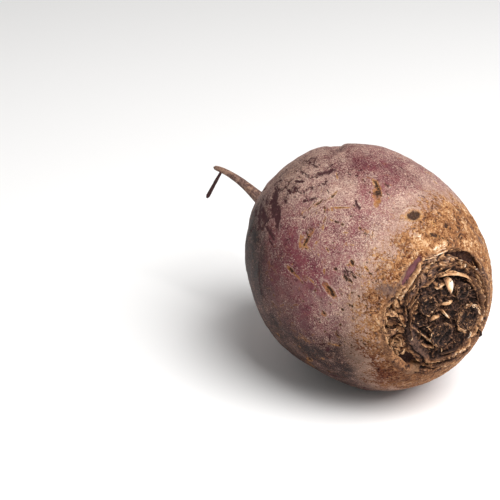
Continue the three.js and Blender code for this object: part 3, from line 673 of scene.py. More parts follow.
def crown_relief(points, radius, turn):
    """Height added over the crown, with its tone (0 dark crevice, 1 pale edge) and masks for the dark
    floors, the bare wound and the smooth grey skin. In the disc ridged noise makes curls. Round it lie
    plates and smooth noise, with cracks where another noise crosses zero and a painted highlight along
    their sides, and lines that rise or sink."""
    wander, fray = layered(points / 4.0, 3), layered(points / 1.3, 37, 2)
    radius = radius + 0.45 * wander + 0.25 * fray
    turn = turn + 2.5 * layered(points / 6.0, 5)
    angle = np.radians(turn)
    circle = stacked(0 * angle, np.cos(angle), np.sin(angle))
    fibres = ridged(4.5 * circle + (radius / 1.25)[..., None] * AXIS + 0.4 * fray[..., None], 7)
    crumple = ridged(points / 3.0 + 0.7 * layered(points / 2.4, 13)[..., None], 19, 3)
    curls = ridged(points / 1.3 + 0.9 * layered(points / 1.6, 15)[..., None], 21, 2)
    crumb = layered(points / 0.9, 23, 2)
    lumps = layered(points / 3.4, 41, 2)
    seams = ridged(points / 4.2 + 0.5 * wander[..., None] + 0.25 * fray[..., None], 43, 1)
    # beside paints a highlight along both sides of each crack
    crack, beside = ease(seams, 0.80, 0.97), bell(seams - 0.62, 0.12)

    edge_gap = radius - along_turns(turn, DISC_EDGE)
    disc = 1 - ease(edge_gap, -0.9, 0.2)
    crown = 1 - ease(radius, *CROWN_EDGE)
    around = (1 - disc) * crown
    low_side = over_turns(turn, 48, 205, 10) * around

    height = disc * (1.2 * crumple + 0.6 * curls + 0.25 * crumb - 1.5)
    height += around * (0.55 * lumps - 0.4 * crack + 0.12 * crumb + 0.2 * (curls - 0.5))
    height += low_side * 0.5 * (fibres - 0.5)
    tone = blend(0.46, 0.145, disc) + disc * (0.36 * (crumple - 0.5) + 0.34 * (curls - 0.5)) + 0.07 * crumb
    tone += around * (0.14 * lumps - 0.25 * crack + 0.08 * beside + 0.08 * (curls - 0.5))
    tone += low_side * (0.2 * (fibres - 0.5) - 0.05)
    plated, plate_rise, plate_tone, plate_grey = plates(points, radius, wander, fray, seeded_plates(), 0.5)
    plated = plated * crown * (1 - ease(radius, *PLATES_EDGE))
    height += plated * (plate_rise + 0.55 * (curls - 0.5))
    tone = blend(tone, plate_tone + 0.10 * lumps + 0.20 * (curls - 0.45) + 0.08 * (fibres - 0.5), plated)

    diagonal = disc_distance(points, *DIAGONAL_RIDGE) + 0.3 * fray
    height = height + 1.2 * bell(diagonal, 0.36) - 0.9 * bell(np.abs(diagonal) - 1.1, 0.5) * disc
    tone = tone + 0.7 * bell(diagonal, 0.3) - 0.3 * bell(np.abs(diagonal) - 1.0, 0.45) * disc

    band = over_turns(turn, 200, 264, 6) * inside_of(edge_gap, (-2.2, -1.6), (1.0, 1.5))
    height = height * (1 - 0.7 * band) + 0.3 * band * (fibres - 0.3)
    tone = blend(tone, 0.30 + 0.25 * (fibres - 0.5) + 0.1 * wander, 0.8 * band)
    band = np.maximum(band * (0.35 + 0.8 * fibres), plate_grey * plated * (1 - disc))

    crescent, filled, lip, laid, laid_rise, laid_tone = crescent_masks(points, radius, turn, wander, fray)
    height = height * (1 - crescent) + crescent * (-2.6 + 0.15 * crumb)
    height = height + filled * (1.7 + 0.5 * (curls - 0.5)) + 0.3 * lip
    height += laid * (0.4 + 1.1 * laid_rise) * np.maximum(crescent, 0.4)
    tone = blend(tone, 0.34 + 0.26 * (curls - 0.4) + 0.1 * crumb, filled)
    tone = blend(tone, laid_tone + 0.10 * (curls - 0.5) + 0.06 * crumb, laid)
    band *= 1 - crescent
    inner, outer = (along_turns(turn, edge) for edge in TOP_HOLLOW)
    top_hollow = inside_of(radius, (inner - 0.1, inner + 0.3), (outer - 0.3, outer + 0.1))
    top_hollow *= over_turns(turn, 3, 122, 3)
    height -= 1.9 * top_hollow
    floor = np.maximum(crescent - filled, top_hollow * (0.85 + 0.3 * fray)).clip(0, 1)

    for rise, shade, profile in crown_lines(radius, turn, wander):
        height += rise * profile
        tone += shade * profile
        if rise < 0:
            band *= 1 - 0.9 * profile.clip(0, 1)

    wound, wound_lip, grey = wound_masks(points, radius, turn, wander, fray)
    band = np.maximum(band, grey)
    height = height * (1 - 0.8 * wound) - 0.8 * wound + 0.3 * wound_lip
    tone = tone * (1 - wound) + 0.1 * wound_lip
    margin = 1 - over_turns(turn, 30, 190, 15) * ease(radius, 22.2, 23.6) * 0.7
    height = height * margin * (1 - ease(radius, *RELIEF_EDGE))
    return height, tone, floor, wound, band, crown


def crescent_masks(points, radius, turn, wander, fray):
    """Where the crescent hollow is, where tissue fills it again, where its outer lip is, and the plates
    that lie in it, with their height and tone."""
    inner, outer = (along_turns(turn, edge) for edge in CRESCENT)
    reach = over_turns(turn, 198, 299, 2.0)
    clean = radius - 0.42 * wander - 0.22 * fray
    crescent = ease(radius, inner - 0.2, inner + 0.3)
    crescent = crescent * (1 - ease(clean, outer - 0.15, outer + 0.15)) * reach
    filled_to = outer - 0.5 * wander
    filled = crescent * over_turns(turn, 223, 296, 4)
    filled *= 1 - ease(clean, filled_to - 1.0, filled_to - 0.6)
    for pocket in POCKETS:
        filled *= ease(plate_distance(points, wander, fray, *pocket)[0], 0.85, 1.05)
    rows = [(*row, 0) for row in PLATES]
    laid, rise, tone, _ = plates(points, radius, wander, fray, rows, 1.0)
    lip = bell(clean - outer - 0.4, 0.4) * reach
    return crescent, np.maximum(filled, laid * crescent), lip, laid, rise, tone


def crown_lines(radius, turn, wander):
    """The lines that run round the crown: each one's rise, its shade, and its share at each vertex, a
    bell that is steeper on one side."""
    for line, inside, outside, rise, shade in CROWN_LINES:
        middle, here = follow(turn, line)
        gap = radius - middle
        profile = np.where(gap < 0, bell(gap, inside), bell(gap, outside)) * here
        yield rise, shade, profile * blend(1, 0.7 + 0.6 * wander, 0.6)


def wound_masks(points, radius, turn, wander, fray):
    """Where the bare wound is, the lip beyond it, and the strip and patches of smooth grey skin."""
    middle, here = follow(turn, WOUND)
    half_width = WOUND_HALF_WIDTH * (0.3 + 0.7 * bell(turn_gap(turn, WOUND_MIDDLE), 11)) + 0.3 * wander
    wound = 1 - ease(np.abs(radius - middle), half_width - 0.2, half_width + 0.1)
    wound = ease(here, 0.1, 0.5) * wound
    lip = bell(radius - middle - 1.9, 0.4) * here
    middle, here = follow(turn, GREY_STRIP)
    strip = 1 - ease(np.abs(radius - middle + 0.3 * wander), 0.4, 0.7)
    grey = ease(here, 0.1, 0.5) * strip * (1 - wound)
    for place, place_turn, size, strength in GREY_PATCHES:
        spot = np.array(on_disc((place, place_turn, 0)))
        gap = size_of((points - spot)[..., 1:]) + 0.7 * wander + 0.3 * fray
        grey = np.maximum(grey, strength * (1 - ease(gap, 0.6 * size, 1.25 * size)))
    return wound, lip, grey


def plate_distance(points, wander, fray, place, turn, half_length, half_width, heading):
    """Distance from a plate's middle over the disc, as a share of its half sizes, and how far across it
    is. The plate lies along the ring, turned outwards by its heading, and its edge wanders with noise."""
    middle = np.array(on_disc((place, turn, 0)))[1:]
    outward = middle / np.linalg.norm(middle)
    round_way = np.array([outward[1], -outward[0]])
    angle = math.radians(heading)
    along = round_way * math.cos(angle) + outward * math.sin(angle)
    across = outward * math.cos(angle) - round_way * math.sin(angle)
    offset = points[..., 1:] - middle
    u = (offset @ along + 0.35 * wander) / half_length
    v = (offset @ across + 0.3 * wander + 0.2 * fray) / half_width
    return (np.abs(u) ** 2.4 + np.abs(v) ** 2.4) ** (1 / 2.4), v


def plates(points, radius, wander, fray, rows, rim):
    """Overlapping plates, each laid over the last: where they are, their height and tone, and how grey.
    A plate rises from its inner to its outer edge, and its tone rises with it, a painted highlight on
    the raised outer edge; a dark line runs round it."""
    near = radius < CROWN_REACH
    flat, flat_wander, flat_fray = points[near], wander[near], fray[near]
    covered, rise, tone, grey = (np.zeros(len(flat)) for _ in range(4))
    for *shape, shade, greyness in rows:
        gap, across = plate_distance(flat, flat_wander, flat_fray, *shape)
        inside, edge = 1 - ease(gap, 0.9, 1.08), bell(gap - 1.12, 0.16)
        # lit drives both the rise and the tone, so the paler raised edge is painted light
        lit = 0.5 * across.clip(-1, 1) + rim * ease(across, 0.5, 0.95)
        covered = np.maximum(covered, np.maximum(inside, 0.9 * edge))
        rise = blend(rise - 0.4 * edge, 0.6 * lit, inside)
        tone = blend(tone * (1 - 0.62 * edge), shade + 0.12 * lit, inside)
        grey = blend(grey * (1 - edge), greyness, inside)
    fields = []
    for values in (covered, rise, tone, grey):
        field = np.zeros(radius.shape)
        field[near] = values
        fields.append(field)
    return fields


def seeded_plates():
    """The plates round the crown, drawn from the fields."""
    draw = np.random.default_rng(23)
    rows = []
    for count, reach, turns, lengths, widths, spread, tones, grey_share in PLATE_FIELDS:
        columns = (draw.uniform(*reach, count), draw.uniform(*turns, count), draw.uniform(*lengths, count),
                   draw.uniform(*widths, count), draw.normal(0, spread, count), draw.uniform(*tones, count),
                   np.where(draw.uniform(0, 1, count) < grey_share, 0.8, 0.0))
        rows += np.stack(columns, axis=-1).tolist()
    return rows


def marks_on(points, sizes):
    """Place within the nearest mark, that mark's look, and how deep it is, at each vertex. A mark is an
    ellipse on the skin: the place is the offset from its middle, divided by its half length and half
    width. The third value is 1 round the mark and 0 well away from it, and where two marks meet."""
    place = np.full(points.shape, 3.0)
    place[..., 2] = 0
    look = np.zeros(points.shape[:-1] + (5,))
    depth = np.zeros(points.shape[:-1])
    nearest, second = np.full(points.shape[:-1], 1e9), np.full(points.shape[:-1], 1e9)
    for start, start_turn, end, end_turn, width, kind in all_marks():
        station = np.array([start, end], float)
        angle = np.radians(np.array([start_turn, end_turn], float))
        reach = body_radius_at(station, sizes) * lobe(np.degrees(angle))
        ends = stacked(station, reach * np.sin(angle), reach * np.cos(angle))
        middle, span = ends.mean(0), ends[1] - ends[0]
        length = np.linalg.norm(span)
        slope = np.diff(body_radius_at(station.mean() + np.array([-0.5, 0.5]), sizes))[0]
        radial = unit(middle * np.array([0, 1.0, 1.0]))
        outward = unit(radial - slope * AXIS)
        along = span / length if length > 0.5 else np.array([0, radial[2], -radial[1]])
        along = unit(along - outward * (along @ outward))
        offset = points - middle
        x, y = offset @ along, offset @ np.cross(outward, along)
        half_length, half_width = length / 2 + 0.35 * width, width / 2
        u, v = x / half_length, y / half_width
        gap = np.hypot(u, v)
        away = np.hypot(np.maximum(0, np.abs(x) - half_length), np.maximum(0, np.abs(y) - half_width))
        away = np.maximum(away, np.abs(offset @ outward) - MARK_DEPTH)
        near = away < MARK_REACH
        closer = near & (gap < nearest)
        second = np.where(closer, nearest, np.where(near, np.minimum(second, gap), second))
        nearest = np.where(closer, gap, nearest)
        *shades, sunk = MARK_KINDS[kind]
        here = stacked(u, v, 1 - ease(away, 1.6, 3.0))
        place = np.where(closer[..., None], here, place)
        look = np.where(closer[..., None], np.array(shades), look)
        dent = -sunk * (1 - ease(gap, 0.3, 1.0)) + 0.35 * sunk * bell(gap - 1.25, 0.3)
        depth = np.where(closer, dent, depth)
    place[..., 2] *= np.where(nearest < 1.1, 1, ease(second - nearest, 0.4, 1.4))
    return place, look, depth * (nearest < 3)


def all_marks():
    """The marks that are listed, then the seeded clusters. Small marks run mostly along the root."""
    draw = np.random.default_rng(41)
    marks = [(*row, kind) for kind, rows in MARKS.items() for row in rows]
    for first, last, first_turn, last_turn, count, lengths, widths, kind in CLUSTERS:
        station, turn = draw.uniform(first, last, count), draw.uniform(first_turn, last_turn, count)
        length, heading = draw.uniform(*lengths, count), draw.normal(0.3, 0.55, count)
        end = station + length * np.cos(heading)
        end_turn = turn + np.degrees(length * np.sin(heading) / MEAN_RADIUS)
        width = draw.uniform(*widths, count)
        marks += [(*row, kind) for row in stacked(station, turn, end, end_turn, width).tolist()]
    return marks


def notch_depth(points, sizes):
    """Depth of the notch: a straight groove with a flat floor that fades out at both ends."""
    start, end = (on_body(*place, sizes) for place in NOTCH[:2])
    share = line_share(points, start, end)
    gap = size_of(points - start - share[..., None] * (end - start))
    fade = ease(np.minimum(share, 1 - share), 0, 0.2)
    return NOTCH[2] * bell(np.maximum(0, gap - 1.2), NOTCH[3]) * fade


def cork_fields(points, station, turn):
    """The cork's height and tone, with the patches and the crumb that are part of both. It is crumpled
    and cracked, and drawn out along the root, more so on one side."""
    stretch = blend(0.42, 0.13, over_turns(turn, 15, 110, 12))
    grain = stacked(station * stretch, points[..., 1] / 1.7, points[..., 2] / 1.7)
    crumple = ridged(grain + 0.6 * layered(points / 3, 47)[..., None], 53, 2)
    coarse = stacked(station * stretch * 0.7, points[..., 1] / 3.6, points[..., 2] / 3.6)
    crack = ease(ridged(coarse + 0.4 * layered(points / 2, 49)[..., None], 55, 2), 0.66, 0.86)
    crumb, patches = layered(points / 1.2, 59, 2), layered(points / 6.5, 57, 3)
    rise = 0.45 * crumple + 0.5 * patches - 0.45 * crack + 0.16 * crumb - 0.2
    tone = 0.515 + 0.18 * (crumple - 0.55) + 0.16 * patches - 0.10 * crack + 0.04 * crumb
    return rise, tone, patches, crumb


def root_surface(sizes):
    """The root as a grid of rings and columns, and the values its finish reads at each vertex. The grown
    form is turned about the axis, lobed and bent along the taproot, then moved along its normals by the
    crown's relief, the cork's crumple, the skin's waves, the taproot's wrinkles and the marks."""
    radii, stations = root_rows(sizes)
    turn = np.broadcast_to(np.arange(COLUMNS) * 360 / COLUMNS, (len(radii), COLUMNS))
    radius = np.broadcast_to(radii[:, None], turn.shape)
    station = np.broadcast_to(stations[:, None], turn.shape)
    on_crown = (radius <= SHOULDER_RADIUS) & (station > 0)
    station = np.where(on_crown, crown_station(np.minimum(radius, SHOULDER_RADIUS), turn, sizes), station)
    roundness = ease(-station, sizes["tail_reach"] - 4, sizes["tail_reach"] + 10)
    radius = radius * blend(lobe(turn), 1, roundness)
    middle, up, side = spine(station, sizes)
    angle = np.radians(turn)[..., None]
    points = middle + radius[..., None] * (up * np.cos(angle) + side * np.sin(angle))
    normals = grid_normals(points)

    relief, tone, floor, wound, band, crown = crown_relief(points, radius, turn)
    on_front = station > 0
    relief, floor, wound, band, crown = (
        np.where(on_front, field, 0) for field in (relief, floor, wound, band, crown))
    cork_gap = station - along_turns(turn, CORK_EDGE) + 1.6 * layered(points / 6, 43)
    cork = ease(cork_gap, -1.5, 2.5) * (1 - crown)
    cork_rise, cork_tone, patches, cork_crumb = cork_fields(points, station, turn)
    relief += cork * blend(1, 0.45, over_turns(turn, 70, 215, 20)) * cork_rise
    tone = blend(cork_tone, tone, crown)

    skin = (1 - cork) * (1 - crown)
    waves = 0.55 * layered(points / 17, 61, 2) + 0.16 * layered(points / 5, 67, 2)
    taproot = ease(-station, 40, 60)
    round_root = stacked(station / 2.2, 2.2 * np.cos(angle[..., 0]), 2.2 * np.sin(angle[..., 0]))
    wrinkles = 0.35 * (ridged(round_root, 71) - 0.5) * ease(-station, 34, 52)
    relief = relief + skin * waves * blend(1, 0.2, taproot) + wrinkles * blend(1, 0.3, taproot)
    for bulge_station, bulge_turn, size, rise in BULGES:
        spot = on_body(bulge_station, bulge_turn, sizes)
        relief += rise * bell(size_of(points - spot), size)
    relief -= notch_depth(points, sizes)
    for place_station, first, last, width, change in CORK_TONES:
        patch = bell(station - place_station + 0.25 * cork_crumb + 0.4 * patches, width)
        patch = patch * over_turns(turn, first, last, 2) * cork
        relief += 0.5 * abs(change) * patch
        tone += change * patch

    place, look, dents = marks_on(points, sizes)
    relief += dents * (1 - crown)
    # Tone of crown and cork follows the local relief, painting shade into its hollows and light onto its
    # rises, over the tissue's own tone
    local = relief - averaged(relief, 5)
    tone = (tone + 0.28 * local * np.maximum(crown, cork)).clip(0, 1)

    tints = np.zeros(points.shape)
    for place_station, place_turn, size, *shares in TINTS:
        spot = on_body(place_station, place_turn, sizes)
        tints += bell(size_of(points - spot), size)[..., None] * np.array(shares)

    points = row_frame(points + normals * relief[..., None], sizes)
    soft, height = REST_SOFTNESS * MM, points[..., 2]
    points[..., 2] = np.where(height < 6 * soft, soft * np.log1p(np.exp(height / soft)), height)
    values = {
        "zone": stacked(cork_gap / 10, crown, tone),
        "crown_finish": stacked(floor, wound, band),
        "mark_place": place,
        "mark_look": look[..., :3],
        "tint": tints.clip(0, 1.3),
        "tail": stacked(taproot, look[..., 3], look[..., 4]),
    }
    return points, values


def rootlet_surface():
    """The side rootlet as a grid (step, round): a round section carried along a quadratic curve. Its
    radius grows along it, swells with noise, and closes at the end as the root of one less the square."""
    steps, around = ROOTLET_GRID
    share = np.linspace(0, 1, steps)
    curve, along = bezier(ROOTLET_PATH, share)
    side = unit(AXIS - along * along[:, :1])
    up = np.cross(side, along)
    loop = np.linspace(0, 2 * np.pi, around, endpoint=False)[:, None]
    closing = np.sqrt(1 - ease(share, 0.9, 1.02) ** 2)
    thick = ROOTLET_RADIUS * blend(0.75, 1.4, share) * closing * (1 + 0.12 * noise(curve / 1.3, 83))
    return curve[:, None] + thick[:, None, None] * (side[:, None] * np.cos(loop) + up[:, None] * np.sin(loop))


# ---------------------------------------------------------------- thin forms

def blade_surface(controls, widths, thickness, lies, grid, curl, crumple, seed):
    """Closed blades as grids (blade, step, round): a lens-shaped section carried along a quadratic
    curve. The section's half width and half thickness follow the sine of the length's share raised to
    a small power, so both ends close, and its middle is cupped by the square of the place across.
    Lying blades are wide along the turn, and standing ones along the axis."""
    steps, around = grid
    share = np.broadcast_to(np.linspace(0, 1, steps), (len(widths), steps))
    path, along = bezier([np.asarray(c, float)[:, None, :] for c in np.moveaxis(controls, 1, 0)], share)
    middle = path[:, steps // 2]
    tangential = unit(stacked(0 * middle[:, 0], middle[:, 2], -middle[:, 1]))
    across = np.where(np.asarray(lies)[:, None], tangential, AXIS)[:, None, :]
    across = unit(across - along * (across * along).sum(-1, keepdims=True))
    face = np.cross(along, across)
    twist = np.asarray(curl)[..., None] * (share - 0.5)
    across, face = (across * np.cos(twist)[..., None] + face * np.sin(twist)[..., None],
                    face * np.cos(twist)[..., None] - across * np.sin(twist)[..., None])
    lying = np.where(np.asarray(lies)[:, None], 1 - 0.9 * share ** 1.1, 1 - 0.5 * (2 * share - 1) ** 2)
    ends = np.sin(np.pi * (0.04 + 0.92 * share)) ** 0.3
    half = 0.5 * widths[:, None] * lying * ends
    loop = np.linspace(0, 2 * np.pi, around, endpoint=False)
    x, y = np.cos(loop), np.sin(loop)
    cup = np.where(np.asarray(lies), 0.9, 0.25)[:, None, None] * (x ** 2) * half[..., None] * 0.5
    points = (path[:, :, None] + across[:, :, None] * (half[..., None] * x)[..., None]
              + face[:, :, None] * (0.5 * thickness[:, None, None] * ends[..., None] * y + cup)[..., None])
    fold = layered(points / 1.5, seed, 3)[..., None] * face[:, :, None]
    pleat = layered(points / 0.9, seed + 5, 2)[..., None] * across[:, :, None]
    return points + crumple * fold + 0.5 * crumple * pleat, share, x


def placed_blade(places, width, lies, grid, curl, crumple, seed):
    """One blade through three places over the disc."""
    controls = np.array([[on_disc(place) for place in places]])
    return blade_surface(controls, np.array([width]), np.array([SCALE_THICKNESS]), [lies], grid,
                         np.array([curl]), crumple, seed)


def lip_surface(line, rise, lean, thickness, seed, sizes):
    """A thin papery lip as a grid (step, round): its foot follows a line round the crown, a little below
    the surface, and its section is a wedge that thins towards the edge, leaning outwards by lean for
    each unit of height. The edge's height is the rise times noise, and falls to the foot at both ends."""
    steps, around = LIP_GRID
    turns, radii = np.array(line, float).T
    turns = np.degrees(np.unwrap(np.radians(turns)))
    share = np.linspace(0, 1, steps)
    knots = np.linspace(0, 1, len(turns))
    smooth = np.linspace(-0.06, 0.06, 5)
    turn = np.mean([np.interp(share + k, knots, turns) for k in smooth], axis=0)
    radius = np.mean([np.interp(share + k, knots, radii) for k in smooth], axis=0)
    outward = outward_at(np.radians(turn))
    foot = crown_station(radius, turn % 360, sizes)
    middle = outward * radius[:, None] + foot[:, None] * AXIS
    fray = layered(middle / 2.6, seed, 2)
    top = rise * (1 + 0.4 * fray) * np.sin(np.pi * (0.03 + 0.94 * share)) ** 0.5
    loop = np.linspace(0, 2 * np.pi, around, endpoint=False)
    up = 0.5 - 0.5 * np.cos(loop)
    side = np.sin(loop) * (1 - 0.75 * up) * 0.5 * thickness
    height = up * (top[:, None] + LIP_SEAT) - LIP_SEAT
    wave = 0.5 * layered(middle / 3.0, seed + 21, 2)
    away = side + (lean + wave[:, None]) * np.maximum(height, 0)
    points = middle[:, None] + height[..., None] * AXIS + away[..., None] * outward[:, None]
    points = points + 0.10 * layered(points / 1.2, seed + 33, 2)[..., None] * outward[:, None]
    return points[None], up[None] * np.ones((1, steps, 1))


def loose_shreds(draw, count, reach, turns, lengths, widths, spread, tones):
    """Control points and sizes of shreds scattered over a ring of the crown, each a bowed line that
    heads off the ring by a little and lies near the disc."""
    radius = np.sqrt(draw.uniform(reach[0] ** 2, reach[1] ** 2, count))
    angle = np.radians(draw.uniform(*turns, count))
    length, heading = draw.uniform(*lengths, count), draw.normal(0, spread, count)
    station = DISC_STATION - DISC_DOMING * radius ** 2 - 0.55 * np.maximum(0, radius - 18)
    station = station + draw.uniform(-0.5, 0.5, count)
    outward = outward_at(angle)
    step = round_at(angle) * np.cos(heading)[:, None] + outward * np.sin(heading)[:, None]
    step[:, 0] = draw.uniform(-0.25, 0.25, count)
    step = step * length[:, None] / 2
    middle = outward * radius[:, None] + station[:, None] * AXIS
    bow = outward * (length ** 2 / (8 * radius))[:, None] + AXIS * draw.uniform(0.2, 0.9, (count, 1))
    controls = np.stack([middle - step, middle + bow, middle + step], axis=1)
    return (controls, draw.uniform(*widths, count), draw.uniform(0.2, 0.4, count),
            draw.uniform(0, 1, count) < 0.55, draw.uniform(-1.4, 1.4, count), draw.uniform(*tones, count))


def rim_crumbs(draw, radius, turn, rim, first, last, count):
    """Control points and sizes of the crumbs along part of a stalk's rim, each a short bent line."""
    angle = np.radians(draw.uniform(first, last, count))
    out = rim + draw.normal(0, 0.25, count)
    ring = stacked(draw.uniform(0.6, 1.9, count), out * np.sin(angle), out * np.cos(angle))
    middle = np.array(on_disc((radius, turn, 0))) + ring
    step = unit(1.3 * round_at(angle) + draw.normal(0, 0.6, (count, 3))) * draw.uniform(0.4, 1.1, (count, 1))
    controls = np.stack([middle - step, middle + draw.normal(0, 0.3, (count, 3)), middle + step], axis=1)
    return (controls, draw.uniform(0.35, 0.9, count), draw.uniform(0.2, 0.45, count),
            draw.uniform(0, 1, count) < 0.5, draw.uniform(-1, 1, count), draw.uniform(0.42, 0.86, count))


def closed_faces(count, steps, around):
    """Corner numbers of closed tubes, with a fan to an added end point at both ends of each. Tube k takes
    steps times around vertices from its first, then its two end points."""
    size = steps * around + 2
    i, j = np.meshgrid(np.arange(steps - 1), np.arange(around), indexing="ij")
    a, b = i * around + j, i * around + (j + 1) % around
    quads = stacked(a, b, b + around, a + around).reshape(-1, 4)
    ring = np.arange(around)
    nxt = (ring + 1) % around
    first = stacked(nxt, ring, np.full(around, steps * around))
    top = (steps - 1) * around
    last = stacked(ring + top, nxt + top, np.full(around, steps * around + 1))
    shift = (np.arange(count) * size)[:, None, None]
    return (quads + shift).reshape(-1, 4), (np.concatenate([first, last]) + shift).reshape(-1, 3)


def with_ends(grid):
    """A grid (tube, step, round) of points or values as rows: each tube's own, then its ends' middles."""
    count, steps, around, *rest = grid.shape
    ends = np.stack([grid[:, 0].mean(1), grid[:, -1].mean(1)], axis=1)
    return np.concatenate([grid.reshape(count, steps * around, *rest), ends], axis=1).reshape(-1, *rest)


def stalk_surface(radius, turn, rim, seed):
    """A dried stalk base as rings from its foot, up the outside, over a ragged rim and down into its
    hollow. Height over the disc and distance from the stalk's own axis follow a profile, and noise round
    the rim breaks it into a frill."""
    rows, around = STALK_GRID
    foot, floor = 0.84 * rim, STALK_HEIGHT - STALK_HOLLOW
    down = np.linspace(0, 0.975, rows)
    knots = np.array([0, 0.22, 0.45, 0.52, 0.60, 0.72, 0.86, 0.975])
    out = np.interp(down, knots, [
        foot, blend(foot, rim, 0.4), rim, rim - 0.25, rim - 0.8, 0.66 * rim, 0.36 * rim, 0.05])
    lift = np.interp(down, knots, [
        -SEAT_DEPTH - 0.6, 0.3, STALK_HEIGHT - 0.3, STALK_HEIGHT, STALK_HEIGHT - 0.5, floor - 0.1,
        floor - 0.3, floor])
    loop = np.linspace(0, 2 * np.pi, around, endpoint=False)
    circle = outward_at(loop)
    seat = np.array(on_disc((radius, turn, 0)))
    near_rim = bell(down - 0.51, 0.12)[:, None]
    inside = ease(down, 0.5, 0.62)[:, None]
    places = seat + out[:, None, None] * circle + lift[:, None, None] * AXIS
    frill = stacked(0 * loop + seed, rim * np.sin(loop) / 1.1, rim * np.cos(loop) / 1.1)
    frill = layered(frill, seed, 3)
    swirl = ridged(places / 2.3 + 0.6 * layered(places / 1.4, seed + 3)[..., None], seed + 9, 3)
    bend = layered(stacked(0 * loop + seed, 1.1 * np.sin(loop), 1.1 * np.cos(loop)), seed + 33, 2)
    fray = 0.4 * near_rim * layered(places / 0.9, seed + 21, 2)
    out = out[:, None] * (1 + 0.16 * bend + 0.10 * near_rim * frill) + fray
    lift = (lift[:, None] + near_rim * (1.1 * frill - 0.8) + inside * (1.3 * swirl - 0.5)
            + 0.25 * layered(places / 0.8, seed + 15, 2))
    points = seat + out[..., None] * circle + lift[..., None] * AXIS
    tone = 0.32 + 0.5 * bell(down - 0.5, 0.04)[:, None] * ease(frill, -0.1, 0.45)
    tone = tone + 0.5 * (swirl - 0.5) * inside - 0.1 * inside + 0.14 * layered(places / 0.7, seed + 27, 2)
    return points[None], tone[None]


# ---------------------------------------------------------------- meshes

def mesh_object(name, vertices, quads, triangles, values, material):
    """A smooth mesh object at the origin from whole arrays of vertices, corner numbers and values. Each
    value becomes a point attribute, a vector or a number."""
    mesh = bpy.data.meshes.new(name)
    mesh.from_pydata(vertices.tolist(), [], quads.tolist() + triangles.tolist())
    mesh.shade_smooth()
    for key, value in values.items():
        is_vector = value.ndim > 1
        layer = mesh.attributes.new(key, "FLOAT_VECTOR" if is_vector else "FLOAT", "POINT")
        layer.data.foreach_set("vector" if is_vector else "value", value.astype(np.float32).ravel())
    mesh.materials.append(material)
    mesh.validate()
    obj = bpy.data.objects.new(name, mesh)
    bpy.context.scene.collection.objects.link(obj)
    return obj


def grown_piece(context, name, nodes, points, tone, material):
    """A piece of closed tubes with its tone, kept from 0 to 1. It rides on the root's body and stands for
    its solid nodes."""
    quads, triangles = closed_faces(*points.shape[:3])
    obj = mesh_object(name, row_frame(with_ends(points), sizes_of(context)), quads, triangles,
                      {"tone": with_ends(tone.clip(0, 1))}, material)
    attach(obj, "root")
    if nodes:
        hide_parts(*nodes)
    return obj


# ---------------------------------------------------------------- finishes

def linear(red, green, blue):
    """A colour given as screen values from 0 to 255, as linear values with alpha."""
    shares = (red / 255, green / 255, blue / 255)
    return (*[c / 12.92 if c <= 0.04045 else ((c + 0.055) / 1.055) ** 2.4 for c in shares], 1.0)


class Signal:
    """One output of a node. Adding, subtracting or multiplying it puts in a Math node."""

    def __init__(self, wire, socket):
        self.wire, self.socket = wire, socket

    def __add__(self, other):
        return self.wire.math("ADD", self, other)

    def __sub__(self, other):
        return self.wire.math("SUBTRACT", self, other)

    def __rsub__(self, other):
        return self.wire.math("SUBTRACT", other, self)

    def __mul__(self, other):
        return self.wire.math("MULTIPLY", self, other)

    def clamped(self):
        """The result of a Math node, kept from 0 to 1."""
        self.socket.node.use_clamp = True
        return self


